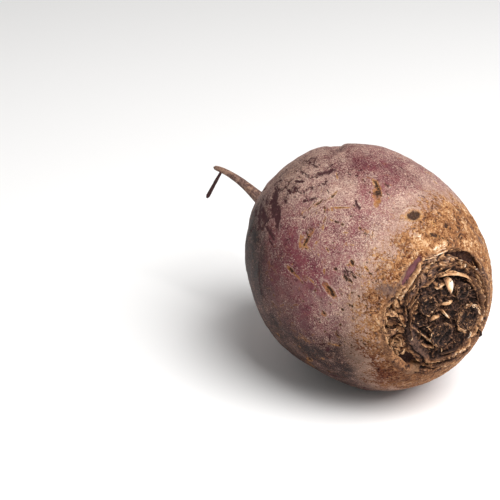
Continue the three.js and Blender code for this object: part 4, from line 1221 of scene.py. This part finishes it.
class Wiring:
    """Adds nodes to a tree, with their inputs given as values or as signals to link."""

    def __init__(self, tree):
        self.tree = tree

    def add(self, kind, inputs=None, **settings):
        node = self.tree.nodes.new(kind)
        for key, value in settings.items():
            setattr(node, key, value)
        for key, value in (inputs or {}).items():
            if isinstance(value, Signal):
                self.tree.links.new(value.socket, node.inputs[key])
            else:
                node.inputs[key].default_value = value
        return node

    def signal(self, kind, inputs=None, output=0, **settings):
        """One output of a new shader node."""
        return Signal(self, self.add("ShaderNode" + kind, inputs, **settings).outputs[output])

    def math(self, operation, a, b=0.0):
        return self.signal("Math", {0: a, 1: b}, operation=operation)

    def larger(self, a, b):
        return self.math("MAXIMUM", a, b)

    def away(self, value, middle):
        """How far a value is from its middle, on either side."""
        return self.math("ABSOLUTE", value - middle)

    def vector(self, operation, a, b):
        return self.signal("VectorMath", {0: a, 1: b}, operation=operation)

    def length(self, vector):
        return self.signal("VectorMath", {0: vector}, "Value", operation="LENGTH")

    def split(self, vector):
        return [Signal(self, part) for part in self.add("ShaderNodeSeparateXYZ", {0: vector}).outputs]

    def step(self, value, low, high, to_low=0.0, to_high=1.0):
        inputs = {"Value": value, "From Min": low, "From Max": high, "To Min": to_low, "To Max": to_high}
        return self.signal("MapRange", inputs, interpolation_type="SMOOTHSTEP")

    def mix(self, share, a, b, blend_type="MIX"):
        inputs = {0: share, 6: a, 7: b}
        return self.signal("Mix", inputs, 2, data_type="RGBA", blend_type=blend_type)

    def coats(self, colour, *layers):
        """A colour with others laid over it in order, each given by its share and its colour."""
        for share, over, *how in layers:
            colour = self.mix(share, colour, over, *how)
        return colour

    def noise(self, vector, scale, detail=2.0, roughness=0.5, distortion=0.0, output=0):
        inputs = {"Vector": vector, "Scale": scale, "Detail": detail, "Roughness": roughness,
                  "Distortion": distortion}
        return self.signal("TexNoise", inputs, output)

    def swing(self, vector, scale, detail, roughness, reach):
        """A vector of noise about zero, times its reach on each axis."""
        colours = self.noise(vector, scale, detail, roughness, output=1)
        return self.vector("MULTIPLY", self.vector("SUBTRACT", colours, (0.5, 0.5, 0.5)), reach)

    def level_line(self, vector, scale, width):
        """Thin lines along the middle level of a noise."""
        return self.step(self.away(self.noise(vector, scale, 1, 0.5, 0.4), 0.5), width, width * 0.3)

    def ramp(self, value, stops):
        node = self.add("ShaderNodeValToRGB", {0: value})
        elements = node.color_ramp.elements
        while len(elements) < len(stops):
            elements.new(0.5)
        for element, (position, *colour) in zip(elements, stops):
            element.position, element.color = position, linear(*colour)
        return Signal(self, node.outputs[0])

    def group(self, tree, **inputs):
        node = self.add("ShaderNodeGroup", inputs, node_tree=tree)
        return {output.name: Signal(self, output) for output in node.outputs}

    def attribute(self, name):
        return self.signal("Attribute", output="Vector", attribute_name=name)

    def surface(self, inputs, height=None, strength=0.0, distance=0.0):
        """The Principled shader, with its bump, into the material's output."""
        if height is not None:
            bump = {"Height": height, "Strength": strength, "Distance": distance}
            inputs["Normal"] = self.signal("Bump", bump)
        shader = self.signal("BsdfPrincipled", inputs)
        self.add("ShaderNodeOutputMaterial", {"Surface": shader})


def new_group(name, inputs, outputs):
    """An empty shader node group with its wiring and its inputs as signals. The input Vector is a vector
    and the output Color a colour, and the other sockets are numbers."""
    tree = bpy.data.node_groups.new(name, "ShaderNodeTree")
    special = {"Vector": "NodeSocketVector", "Color": "NodeSocketColor"}
    for label, default in inputs.items():
        kind = special.get(label, "NodeSocketFloat")
        socket = tree.interface.new_socket(name=label, in_out="INPUT", socket_type=kind)
        if default is not None:
            socket.default_value = default
    for label in outputs:
        kind = special.get(label, "NodeSocketFloat")
        tree.interface.new_socket(name=label, in_out="OUTPUT", socket_type=kind)
    wire = Wiring(tree)
    given = wire.add("NodeGroupInput").outputs
    return wire, *(Signal(wire, given[label]) for label in inputs)


def new_material(name):
    """An empty material, its wiring, and the place on the object as a signal."""
    material = bpy.data.materials.new(name)
    material.use_nodes = True
    material.node_tree.nodes.clear()
    wire = Wiring(material.node_tree)
    return material, wire, wire.signal("TexCoord", output="Object")


def shared_group(name, build, *given):
    """A node group by name, built the first time it is asked for."""
    return bpy.data.node_groups.get(name) or build(*given)


def dried_colour_group():
    """Tone from 0 to 1 as the colours of dried beet tissue, from black-brown crevices to cream edges,
    broken up by fine noise and by lines that are dark on pale tissue and pale on dark."""
    wire, where, given_tone, grain = new_group(
        "Dried tissue colour", {"Vector": None, "Tone": 0.5, "Grain": 0.25}, ("Color", "Height"))
    fine = wire.noise(where, 1700, 3, 0.65, 0.4)
    coarse = wire.noise(where, 560, 2, 0.6, 0.8)
    swing = (fine + coarse - 1.0) * 2.0
    fold = wire.away(wire.noise(where, 620, 2, 0.6, 1.3), 0.5)
    line = wire.step(fold, 0.036, 0.010) * wire.step(wire.noise(where, 230), 0.42, 0.56)
    swing += line * wire.step(given_tone, 0.30, 0.48, 1.6, -1.6)
    tone = (given_tone + swing * grain).clamped()
    wire.add("NodeGroupOutput", {"Color": wire.ramp(tone, DRIED_COLOURS), "Height": tone})
    return wire.tree


def skin_mottle_group():
    """The marks of beet skin: a fine net of pale lines, specks, broad patches, orange flecks, dark blots,
    a broad bloom, small blushes, and dots (Soil) that darken the painted shade further. Cover shifts how
    much of the skin the specks take."""
    parts = ("Net", "Specks", "Patches", "Flecks", "Blots", "Bloom", "Blush", "Soil")
    wire, where, cover = new_group("Skin mottle", {"Vector": None, "Cover": 0.0}, parts)
    bent = wire.vector("ADD", where, wire.swing(where, 520, 3, 0.65, (0.0022, 0.0022, 0.0022)))
    long_way = wire.vector("MULTIPLY", bent, (0.3, 1.0, 1.0))
    lines = wire.larger(wire.level_line(bent, 520, 0.020), wire.level_line(bent, 1500, 0.034))
    lines = wire.larger(lines, wire.level_line(long_way, 800, 0.026))
    covered = wire.noise(bent, 2400, 3, 0.75, 0.3) + cover
    wire.add("NodeGroupOutput", {
        "Net": lines * wire.step(covered, 0.40, 0.54),
        "Specks": wire.step(covered, 0.495, 0.54),
        "Patches": wire.noise(where, 75, 4, 0.62, 0.5),
        "Flecks": wire.step(wire.noise(where, 620, 2, 0.5, 1.2), 0.67, 0.73),
        "Blots": wire.step(wire.noise(bent, 1000, 2, 0.65, 0.5), 0.43, 0.35),
        "Bloom": wire.step(wire.noise(where, 48, 3, 0.6, 0.8), 0.46, 0.62),
        "Blush": wire.step(wire.noise(where, 210, 4, 0.68, 0.8), 0.42, 0.60),
        "Soil": wire.step(wire.noise(bent, 1500, 4, 0.75, 0.6), 0.48, 0.58, 0.0, 0.9),
    })
    return wire.tree


def skin_cover(wire, where, mauve, dust, shade):
    """How much more of the skin than half its specks cover, from a broad noise and the tints."""
    spread = wire.noise(where, 170, 3, 0.6) - 0.5
    return spread * 0.26 - 0.012 + dust * 0.05 - (mauve * 0.07 + shade * 0.03)


def skin_colour(wire, finish, mauve, dust, shade, mottle):
    """Colour of the skin: dark to light mauve by the broad patches and tints, dulled by a bloom, blushed
    in small patches, dusted, and given painted shade, then specked beige, netted with pale lines, blotted
    (more deeply in the painted shade), and flecked orange-brown. The painted shade then darkens the skin
    further, with darker dots in it."""
    return wire.coats(
        wire.mix(wire.step(mottle["Patches"], 0.35, 0.65), finish.mauve_dark, finish.mauve_light),
        ((mauve * 0.8).clamped(), finish.mauve_deep),
        (mottle["Bloom"] * 0.5, finish.bloom),
        (mottle["Blush"] * 0.36, finish.blush),
        (((dust + wire.step(mottle["Patches"], 0.5, 0.8)) * 0.45).clamped(), finish.dust),
        # Painted shade: the shaded colour, a darkening multiply with darker dots, deeper blots and a last
        # darkening
        ((shade * 0.6).clamped(), finish.shade),
        ((shade * 0.8).clamped(), wire.mix(mottle["Soil"], finish.painted_shade, finish.soil), "MULTIPLY"),
        (mottle["Specks"] * 0.72, finish.beige),
        (mottle["Net"] * 0.65, finish.pale),
        ((mottle["Blots"] * (shade + 0.7)).clamped(), finish.blots, "MULTIPLY"),
        (mottle["Flecks"] * 0.6, finish.orange),
        ((shade * 0.62).clamped(), finish.painted_shade, "MULTIPLY"),
    )


def taproot_colour(wire, where, finish, shade, mottle):
    """Colour of the taproot: dull brown with darker patches, beige specks, and dark dots and rings, and the
    shaded colour where shade is painted. The side rootlet carries the most painted shade, which takes it
    towards the crevice colour."""
    dots = wire.step(wire.noise(where, 800, 3, 0.7), 0.56, 0.60)
    rings = wire.noise(wire.vector("MULTIPLY", where, (2.6, 1.0, 1.0)), 420, 3, 0.6, 0.6)
    mould = wire.noise(wire.vector("MULTIPLY", where, (0.6, 1.0, 1.0)), 260, 4, 0.7, 0.8)
    return wire.coats(
        wire.mix(wire.step(mould, 0.44, 0.56), finish.tail, finish.tail_dark),
        (mottle["Specks"] * 0.35, finish.beige),
        (wire.larger(dots, wire.step(rings, 0.54, 0.68)) * 0.75, finish.hollow),
        # Painted shade: the shaded colour, and near the crevice colour where it is deepest, on the rootlet
        ((shade * 0.85).clamped(), finish.shade),
        (wire.step(shade, 1.3, 2.0, 0.0, 0.8), finish.crevice),
    )


def cork_colour_group(finish):
    """Tone from 0 to 1 as the colours of cork, brown through golden to cream, in crisp plates with thin
    brown lines between them, wrinkles that follow the level lines of a noise, and small pale chips."""
    wire, where, given_tone = new_group("Cork colour", {"Vector": None, "Tone": 0.5}, ("Color", "Height"))
    bent = wire.vector("ADD", where, wire.swing(where, 420, 3, 0.65, (0.003, 0.003, 0.003)))
    fine = wire.noise(where, 1700, 2, 0.65, 0.3) - 0.5
    plates = wire.step(wire.noise(bent, 260, 3, 0.65, 0.5), 0.45, 0.55, -0.08, 0.08)
    line = wire.larger(wire.level_line(bent, 330, 0.019), wire.level_line(bent, 760, 0.045))
    line *= wire.step(wire.noise(where, 260, 2), 0.34, 0.54)
    chips = wire.step(wire.noise(bent, 620, 2, 0.6, 0.8), 0.60, 0.63)
    curls = wire.math("SINE", wire.noise(where, 170, 1, 0.5, 0.5) * 75.0)
    curls *= wire.step(wire.noise(where, 140, 2), 0.40, 0.60, 0.02, 0.13)
    tone = (given_tone + (plates + curls) + fine * 0.6).clamped()
    colour = wire.mix(line, wire.ramp(tone, CORK_COLOURS), finish.cork_line, "MULTIPLY")
    colour = wire.mix(chips * wire.step(given_tone, 0.3, 0.6, 0.1, 0.6), colour, finish.cork_chip)
    wire.add("NodeGroupOutput", {"Color": colour, "Height": tone - line * 0.4})
    return wire.tree


def root_material(finish):
    """Skin, cork, crown and taproot in one finish, told apart by the root's own attributes."""
    material, wire, where = new_material("Beet skin and cork")
    gap, crown, tone = wire.split(wire.attribute("zone"))
    floor, wound, band = wire.split(wire.attribute("crown_finish"))
    core, rim, peel = wire.split(wire.attribute("mark_look"))
    taproot, stain, ragged_by = wire.split(wire.attribute("tail"))
    mauve, dust, shade = wire.split(wire.attribute("tint"))
    # The tints' shade is painted shade; noise breaks it into patches so that it reads as soil
    shade *= wire.step(wire.noise(where, 130, 4, 0.65, 0.8), 0.34, 0.64, 0.7, 1.25)
    mottle = wire.group(shared_group("Skin mottle", skin_mottle_group),
                        Vector=where, Cover=skin_cover(wire, where, mauve, dust, shade))
    colour = skin_colour(wire, finish, mauve, dust, shade, mottle)
    tail_colour = taproot_colour(wire, where, finish, shade, mottle)

    # Marks: ragged ellipses in the place that the mesh carries
    place = wire.attribute("mark_place")
    guard = wire.split(place)[2]
    rag = wire.vector("MULTIPLY", wire.swing(where, 800, 4, 0.75, (2.4, 2.4, 0)), ragged_by)
    mark_gap = wire.length(wire.vector("ADD", wire.vector("MULTIPLY", place, (1, 1, 0)), rag))
    eaten = wire.step(wire.noise(where, 420, 2, 0.6, 0.6), 0.56, 0.44) * ragged_by
    halo = wire.step(mark_gap, 1.2, 0.85) * rim * guard * (1.0 - eaten * 0.5)
    outline = wire.step(wire.away(mark_gap, 1.35), 0.25, 0.05) * rim * guard
    outline *= (0.4 - shade * 0.5).clamped()
    sway = (wire.noise(where, 500, 2) - 0.5) * ragged_by
    heart = wire.step(mark_gap - core + sway * 2.0, 0.02, -0.22) * guard
    torn = (wire.noise(where, 380, 4, 0.65, 0.8) - 0.47) * 2.4
    bare = wire.step(mark_gap + torn, 1.05, 0.9) * peel * guard
    stained = wire.step(mark_gap, 1.4, 0.5) * stain * guard
    streaks = wire.step(wire.noise(where, 1500, 2, 0.6, 1.0), 0.5, 0.62, 0.0, 0.7)
    core_colour = wire.mix(streaks, finish.crevice, finish.scab)
    core_colour = wire.mix(wire.step(rim, 0.0, 0.3), finish.peeled, core_colour)

    # Cork: gives way to skin in ever fewer fine specks, and is drawn out along the root on one side
    x, y, z = wire.split(where)
    drawn_out = wire.step(y, 0.004, 0.02, 1.0, 0.4)
    stretched = wire.signal("CombineXYZ", {0: (x - 0.04) * drawn_out, 1: y, 2: z})
    breakup = wire.noise(where, 240, 3, 0.65, 0.6) - 0.5
    grains = wire.noise(where, 1300, 3, 0.7, 0.4) - 0.5
    cork = wire.larger(wire.step(gap + (breakup * 2.2 + grains * 3.2), -0.42, 0.0), crown)
    cork_look = wire.group(shared_group("Cork colour", cork_colour_group, finish),
                           Vector=stretched, Tone=tone)
    tissue = wire.group(shared_group("Dried tissue colour", dried_colour_group),
                        Vector=where, Tone=tone, Grain=0.14)
    colour = wire.coats(
        colour,
        (taproot * 0.92, tail_colour),
        (bare, wire.mix(streaks * 0.5, finish.peeled, finish.scab)),
        (outline, finish.pale),
        (wire.step(gap, -1.1, 0.1, 0.0, 0.6), finish.cork_dust),
        (cork, cork_look["Color"]),
        (crown, tissue["Color"]),
        (wire.larger(band * 0.55, stained * 0.8), finish.band),
        # Painted shade: cork and crown are darkened where the tints paint shade
        ((shade * cork * 0.85).clamped(), finish.painted_shade, "MULTIPLY"),
        (wound, wire.mix(wire.step(mottle["Patches"], 0.3, 0.7), finish.wound, finish.wound_dark)),
        (floor, wire.mix(streaks, finish.hollow, finish.scab)),
        (halo, wire.mix(wire.step(mottle["Specks"], 0.0, 1.0), finish.orange, finish.orange_pale)),
        (heart * 0.93, core_colour),
    )

    rough = (cork * 0.22 + 0.56 - wound * 0.3 + wire.larger(heart, bare) * 0.3).clamped()
    height = mottle["Specks"] * 0.4 + mottle["Net"] * 0.5
    height = wire.mix(crown, wire.mix(cork, height, cork_look["Height"]), tissue["Height"]) - heart * 1.5
    wire.surface({
        "Base Color": colour, "Roughness": rough, "Specular IOR Level": 0.15, "Sheen Weight": 0.02,
        "Sheen Roughness": 0.45, "Sheen Tint": linear(236, 214, 202)}, height, 0.7, 0.00045)
    return material


def dried_material(name, lift, grain, roughness):
    """Dried leaf tissue: the mesh's own tone, lifted, as the colours of dried tissue."""
    material, wire, where = new_material(name)
    tone = wire.signal("Attribute", output="Fac", attribute_name="tone")
    tissue = wire.group(shared_group("Dried tissue colour", dried_colour_group),
                        Vector=where, Tone=tone + lift, Grain=grain)
    wire.surface({"Base Color": tissue["Color"], "Roughness": roughness, "Specular IOR Level": 0.3},
                 tissue["Height"], 0.5, 0.0003)
    return material


def plain_material(name, colour, roughness):
    """A plain finish for the floor, with a faint unevenness."""
    material, wire, where = new_material(name)
    faint = wire.step(wire.noise(where, 3, 2), 0.2, 0.8, 0.99, 1.0)
    grey = wire.signal("CombineColor", {0: faint, 1: faint, 2: faint})
    wire.surface({"Base Color": wire.mix(1.0, colour, grey, "MULTIPLY"), "Roughness": roughness,
                  "Specular IOR Level": 0.1})
    return material


# ---------------------------------------------------------------- settings

def measure(name, description, default, **more):
    return bpy.props.FloatProperty(name=name, description=description, default=default, **more)


def length(name, description, millimetres):
    return measure(name, description, millimetres * MM, unit="LENGTH", precision=4)


def paint(name, description, red, green, blue):
    return bpy.props.FloatVectorProperty(
        name=name, description=description, default=linear(red, green, blue), subtype="COLOR", size=4,
        min=0, max=1)


class BeetrootSizes(bpy.types.PropertyGroup):
    """Main sizes of the root"""

    body_radius: length("Body radius", "Radius at the widest ring", 45)
    crown_reach: length("Crown reach", "From the widest ring to the end of the crown's dome", 57.5)
    tail_reach: length("Tail reach", "From the widest ring to the end of the body's tail", 51.5)
    taproot_length: length("Taproot length", "Length of the taproot past the body", 52)


class BeetrootFinish(bpy.types.PropertyGroup):
    """Colours of the root and its dried parts"""

    mauve_dark: paint("Dark mauve", "Darker ground of the skin", 104, 55, 62)
    mauve_light: paint("Light mauve", "Lighter ground of the skin", 136, 82, 87)
    mauve_deep: paint("Deep mauve", "Ground where the skin is cleanest", 108, 50, 62)
    dust: paint("Dust", "Dry dust over the skin", 172, 134, 120)
    # Painted shade: the colour skin and taproot take where the tints paint shade
    shade: paint("Shaded skin", "Dull brown-grey skin", 84, 50, 54)
    blots: paint("Blots", "What small dark blots multiply the skin by", 156, 108, 116)
    beige: paint("Beige specks", "Specks on the skin", 222, 184, 165)
    pale: paint("Pale lines", "Net of fine lines on the skin", 238, 212, 192)
    orange: paint("Orange tissue", "Healed tissue round marks", 160, 106, 58)
    orange_pale: paint("Pale orange tissue", "Light grains in healed tissue", 204, 156, 102)
    peeled: paint("Peeled skin", "Bare places where skin has peeled", 66, 34, 38)
    cork_dust: paint("Cork dust", "Pale skin where it turns to cork", 192, 156, 134)
    # Painted shade: what skin, cork and crown are multiplied by where the tints paint shade
    painted_shade: paint("Painted_shade", "What grime multiplies skin and cork by", 146, 108, 96)
    # Darker dots within the painted shade
    soil: paint("Soil dots", "What dots of soil multiply shade_painted skin by", 112, 74, 66)
    blush: paint("Blush", "Rosy ground in small patches", 142, 72, 76)
    bloom: paint("Bloom", "Grey bloom that dulls the skin in broad patches", 142, 112, 108)
    cork_line: paint("Cork lines", "What the thin lines multiply the cork by", 156, 112, 80)
    cork_chip: paint("Cork chips", "Small pale chips of the cork", 220, 188, 152)
    scab: paint("Scab", "Brown streaks in the core of marks", 96, 70, 62)
    tail: paint("Taproot", "Skin of the taproot", 160, 124, 102)
    tail_dark: paint("Dark taproot", "Darker patches of the taproot", 88, 60, 56)
    crevice: paint("Crevice", "Deepest cracks and cores", 40, 26, 22)
    band: paint("Smooth band", "Smooth grey skin inside the crown", 98, 80, 76)
    wound: paint("Wound", "Bare purple flesh at the crown", 118, 70, 76)
    wound_dark: paint("Dark wound", "Darker bare flesh", 92, 56, 58)
    hollow: paint("Hollow", "Floor of the crown's hollows", 54, 33, 29)


class StudioSettings(bpy.types.PropertyGroup):
    """Light, floor and camera"""

    key_power: measure("Key light", "Power of the main light", 20.4, unit="POWER")
    fill_power: measure("Fill light", "Power of the fill light", 1.6, unit="POWER")
    surround: measure("Surround", "Brightness of the surroundings", 0.31)
    floor_colour: paint("Floor", "Colour of the floor", 242, 241, 240)
    focal_length: measure("Focal length", "Focal length of the lens, in millimetres", 110)


def sizes_of(context):
    """The main sizes in millimetres."""
    group = context.scene.beetroot_sizes
    keys = ("body_radius", "crown_reach", "tail_reach", "taproot_length")
    return {key: getattr(group, key) / MM for key in keys}


# ---------------------------------------------------------------- operators

class BEETROOT_OT_root(bpy.types.Operator):
    """Builds the grown root with its crown, cork, taproot and rootlet"""

    bl_idname = "beetroot.root"
    bl_label = "Root"

    def execute(self, context):
        sizes = sizes_of(context)
        points, values = root_surface(sizes)
        rings, columns = points.shape[:2]
        quads, triangles = closed_faces(1, rings - 2, columns)
        body = points[1:-1].reshape(-1, 3)
        ends = np.stack([points[0].mean(0), points[-1].mean(0)])
        rootlet = row_frame(with_ends(rootlet_surface()[None]), sizes)
        more_quads, more_triangles = closed_faces(1, *ROOTLET_GRID)
        start = len(body) + len(ends)
        laid_out = {}
        for key, value in values.items():
            plain = np.broadcast_to(np.array(ROOTLET_VALUES[key], float), (len(rootlet), 3))
            laid_out[key] = np.concatenate(
                [value[1:-1].reshape(-1, 3), value[0].mean(0)[None], value[-1].mean(0)[None], plain])
        obj = mesh_object(
            "beetroot_root", np.concatenate([body, ends, rootlet]),
            np.concatenate([quads, more_quads + start]),
            np.concatenate([triangles, more_triangles + start]), laid_out,
            root_material(context.scene.beetroot_finish))
        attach(obj, "root")
        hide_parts("root")
        return {"FINISHED"}


class BEETROOT_OT_stalk_bases(bpy.types.Operator):
    """Builds the four dried stalk bases in the crown"""

    bl_idname = "beetroot.stalk_bases"
    bl_label = "Stalk bases"

    def execute(self, context):
        material = dried_material("Dried stalk", -0.12, 0.26, 0.9)
        for number, (name, radius, turn, rim) in enumerate(STALK_BASES):
            points, tone = stalk_surface(radius, turn, rim, 101 + 40 * number)
            grown_piece(context, f"dried_{name}", [name], points, tone, material)
        return {"FINISHED"}


class BEETROOT_OT_scales(bpy.types.Operator):
    """Builds the pale dried scales that stand or lie in the crown"""

    bl_idname = "beetroot.scales"
    bl_label = "Scales"

    def execute(self, context):
        material = dried_material("Dried scale", 0.0, 0.06, 0.7)
        specs = [(spec, False) for spec in EDGE_SCALES] + [(spec, True) for spec in FLAT_SCALES]
        for number, ((name, *places, width), lies) in enumerate(specs):
            points, share, across = placed_blade(places, width, lies, SCALE_GRID, 0.5, 0.1, 301 + 7 * number)
            tone = SCALE_TONES[name] + 0.2 * layered(points / 2.2, 311 + number, 2)
            tone -= 0.3 * (1 - np.sin(np.pi * share))[..., None]
            streaks = ridged(points * np.array([0.3, 1, 1]) / 0.8, 321 + number)
            tone = tone + 0.16 * (streaks - 0.5) + (0.36 * across if lies else 0.0)
            grown_piece(context, f"dried_{name}", [name], points, tone, material)
        return {"FINISHED"}


class BEETROOT_OT_flakes(bpy.types.Operator):
    """Builds the crumpled flakes that bridge the crescent hollow"""

    bl_idname = "beetroot.flakes"
    bl_label = "Flakes"

    def execute(self, context):
        material = dried_material("Dried flake", 0.0, 0.22, 0.8)
        for number, (name, *places, width) in enumerate(FLAKES):
            points, _, _ = placed_blade(places, width, True, FLAKE_GRID, 0.4, 0.55, 401 + 7 * number)
            tone = 0.58 + 0.5 * (ridged(points / 1.5, 421 + number) - 0.5)
            tone += 0.15 * layered(points / 0.9, 431 + number, 2)
            grown_piece(context, f"dried_{name}", [name], points, tone, material)
        return {"FINISHED"}


class BEETROOT_OT_lips(bpy.types.Operator):
    """Builds the papery lips of old leaf bases that stand round the crown"""

    bl_idname = "beetroot.lips"
    bl_label = "Crown lips"

    def execute(self, context):
        grids, tones = [], []
        for number, (line, rise, lean, thickness, shade) in enumerate(LIPS):
            points, up = lip_surface(line, rise, lean, thickness, 601 + 11 * number, sizes_of(context))
            grids.append(points)
            streaks = ridged(points * np.array([0.25, 1, 1]) / 0.9, 701 + number)
            tones.append(shade - 0.30 + 0.34 * up ** 2 + 0.22 * (streaks - 0.5)
                         + 0.12 * layered(points / 2.5, 801 + number, 2))
        grown_piece(context, "crown_lips", [], np.concatenate(grids), np.concatenate(tones),
                    dried_material("Dried lip", 0.0, 0.14, 0.8))
        return {"FINISHED"}


class BEETROOT_OT_shreds(bpy.types.Operator):
    """Scatters small dried shreds over the crown"""

    bl_idname = "beetroot.shreds"
    bl_label = "Crown shreds"

    def execute(self, context):
        draw = np.random.default_rng(7)
        kinds = [loose_shreds(draw, *row) for row in SHREDS] + [rim_crumbs(draw, *row) for row in RIM_CRUMBS]
        controls, widths, thickness, lies, curl, shade = (np.concatenate(column) for column in zip(*kinds))
        points, _, across = blade_surface(
            controls, widths, thickness, lies, SHRED_GRID, curl=curl, crumple=0.12, seed=501)
        tone = shade[:, None, None] + 0.22 * np.abs(across) - 0.1 + 0.14 * layered(points / 0.8, 511, 2)
        grown_piece(context, "crown_shreds", [], points, tone,
                    dried_material("Dried shred", 0.0, 0.15, 0.85))
        return {"FINISHED"}


class BEETROOT_OT_stage(bpy.types.Operator):
    """Lays the floor, sets the lights and places the camera"""

    bl_idname = "beetroot.stage"
    bl_label = "Stage"

    def execute(self, context):
        studio = context.scene.beetroot_studio
        link = context.scene.collection.objects.link
        loop = np.linspace(0, 2 * np.pi, FLOOR_CORNERS, endpoint=False)
        edge = stacked(FLOOR_RADIUS * np.cos(loop), FLOOR_RADIUS * np.sin(loop), 0 * loop - FLOOR_DROP)
        mesh = bpy.data.meshes.new("floor")
        mesh.from_pydata(edge.tolist(), [], [list(range(FLOOR_CORNERS))])
        mesh.materials.append(plain_material("Floor", studio.floor_colour, 0.9))
        floor = bpy.data.objects.new("floor", mesh)
        link(floor)

        azimuth, elevation = math.radians(CAMERA_AZIMUTH), math.radians(CAMERA_ELEVATION)
        right = Vector((math.cos(azimuth), math.sin(azimuth), 0))
        level = math.cos(elevation)
        back = Vector((math.sin(azimuth) * level, -math.cos(azimuth) * level, math.sin(elevation)))
        up = back.cross(right)
        target = Vector(CAMERA_TARGET)
        aim = target + right * CAMERA_ASIDE[0] + up * CAMERA_ASIDE[1]
        camera = bpy.data.cameras.new("camera")
        camera.lens, camera.sensor_width = studio.focal_length, SENSOR_WIDTH
        camera.clip_start, camera.clip_end = CLIP
        holder = bpy.data.objects.new("camera", camera)
        turned = Matrix((right, up, back)).transposed().to_4x4()
        holder.matrix_world = Matrix.Translation(aim + back * CAMERA_DISTANCE) @ turned
        link(holder)
        context.scene.camera = holder

        for name, size, (aside, above, behind) in LIGHTS:
            light = bpy.data.lights.new(name, "AREA")
            light.energy, light.size = getattr(studio, f"{name}_power"), size
            lamp = bpy.data.objects.new(name, light)
            place = right * aside + up * above + back * behind
            lamp.location = target + place
            lamp.rotation_mode = "QUATERNION"
            lamp.rotation_quaternion = place.to_track_quat("Z", "Y")
            link(lamp)

        world = bpy.data.worlds.new("Surround")
        world.use_nodes = True
        background = world.node_tree.nodes["Background"]
        background.inputs[0].default_value = (1, 1, 1, 1)
        background.inputs[1].default_value = studio.surround
        context.scene.world = world
        context.scene.view_settings.view_transform = "Standard"
        return {"FINISHED"}


OPERATORS = (
    BEETROOT_OT_root, BEETROOT_OT_stalk_bases, BEETROOT_OT_scales, BEETROOT_OT_flakes,
    BEETROOT_OT_lips, BEETROOT_OT_shreds, BEETROOT_OT_stage,
)
SETTINGS = {
    "beetroot_sizes": BeetrootSizes, "beetroot_finish": BeetrootFinish, "beetroot_studio": StudioSettings,
}


class BEETROOT_PT_panel(bpy.types.Panel):
    """Lists the beetroot's pieces and settings in the sidebar"""

    bl_idname = "BEETROOT_PT_panel"
    bl_label = "Beetroot"
    bl_space_type = "VIEW_3D"
    bl_region_type = "UI"
    bl_category = "Beetroot"

    def draw(self, context):
        for operator in OPERATORS:
            self.layout.operator(operator.bl_idname)
        for key in SETTINGS:
            group, box = getattr(context.scene, key), self.layout.box()
            for setting in group.bl_rna.properties.keys():
                if setting not in ("rna_type", "name"):
                    box.prop(group, setting)


CLASSES = (*SETTINGS.values(), *OPERATORS, BEETROOT_PT_panel)


def register():
    for item in CLASSES:
        bpy.utils.register_class(item)
    for key, group in SETTINGS.items():
        setattr(bpy.types.Scene, key, bpy.props.PointerProperty(type=group))


def unregister():
    for key in SETTINGS:
        delattr(bpy.types.Scene, key)
    for item in reversed(CLASSES):
        bpy.utils.unregister_class(item)


def main():
    """Registers the classes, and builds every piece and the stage."""
    register()
    for operator in OPERATORS:
        area, name = operator.bl_idname.split(".")
        getattr(getattr(bpy.ops, area), name)()


if __name__ == "__main__":
    main()
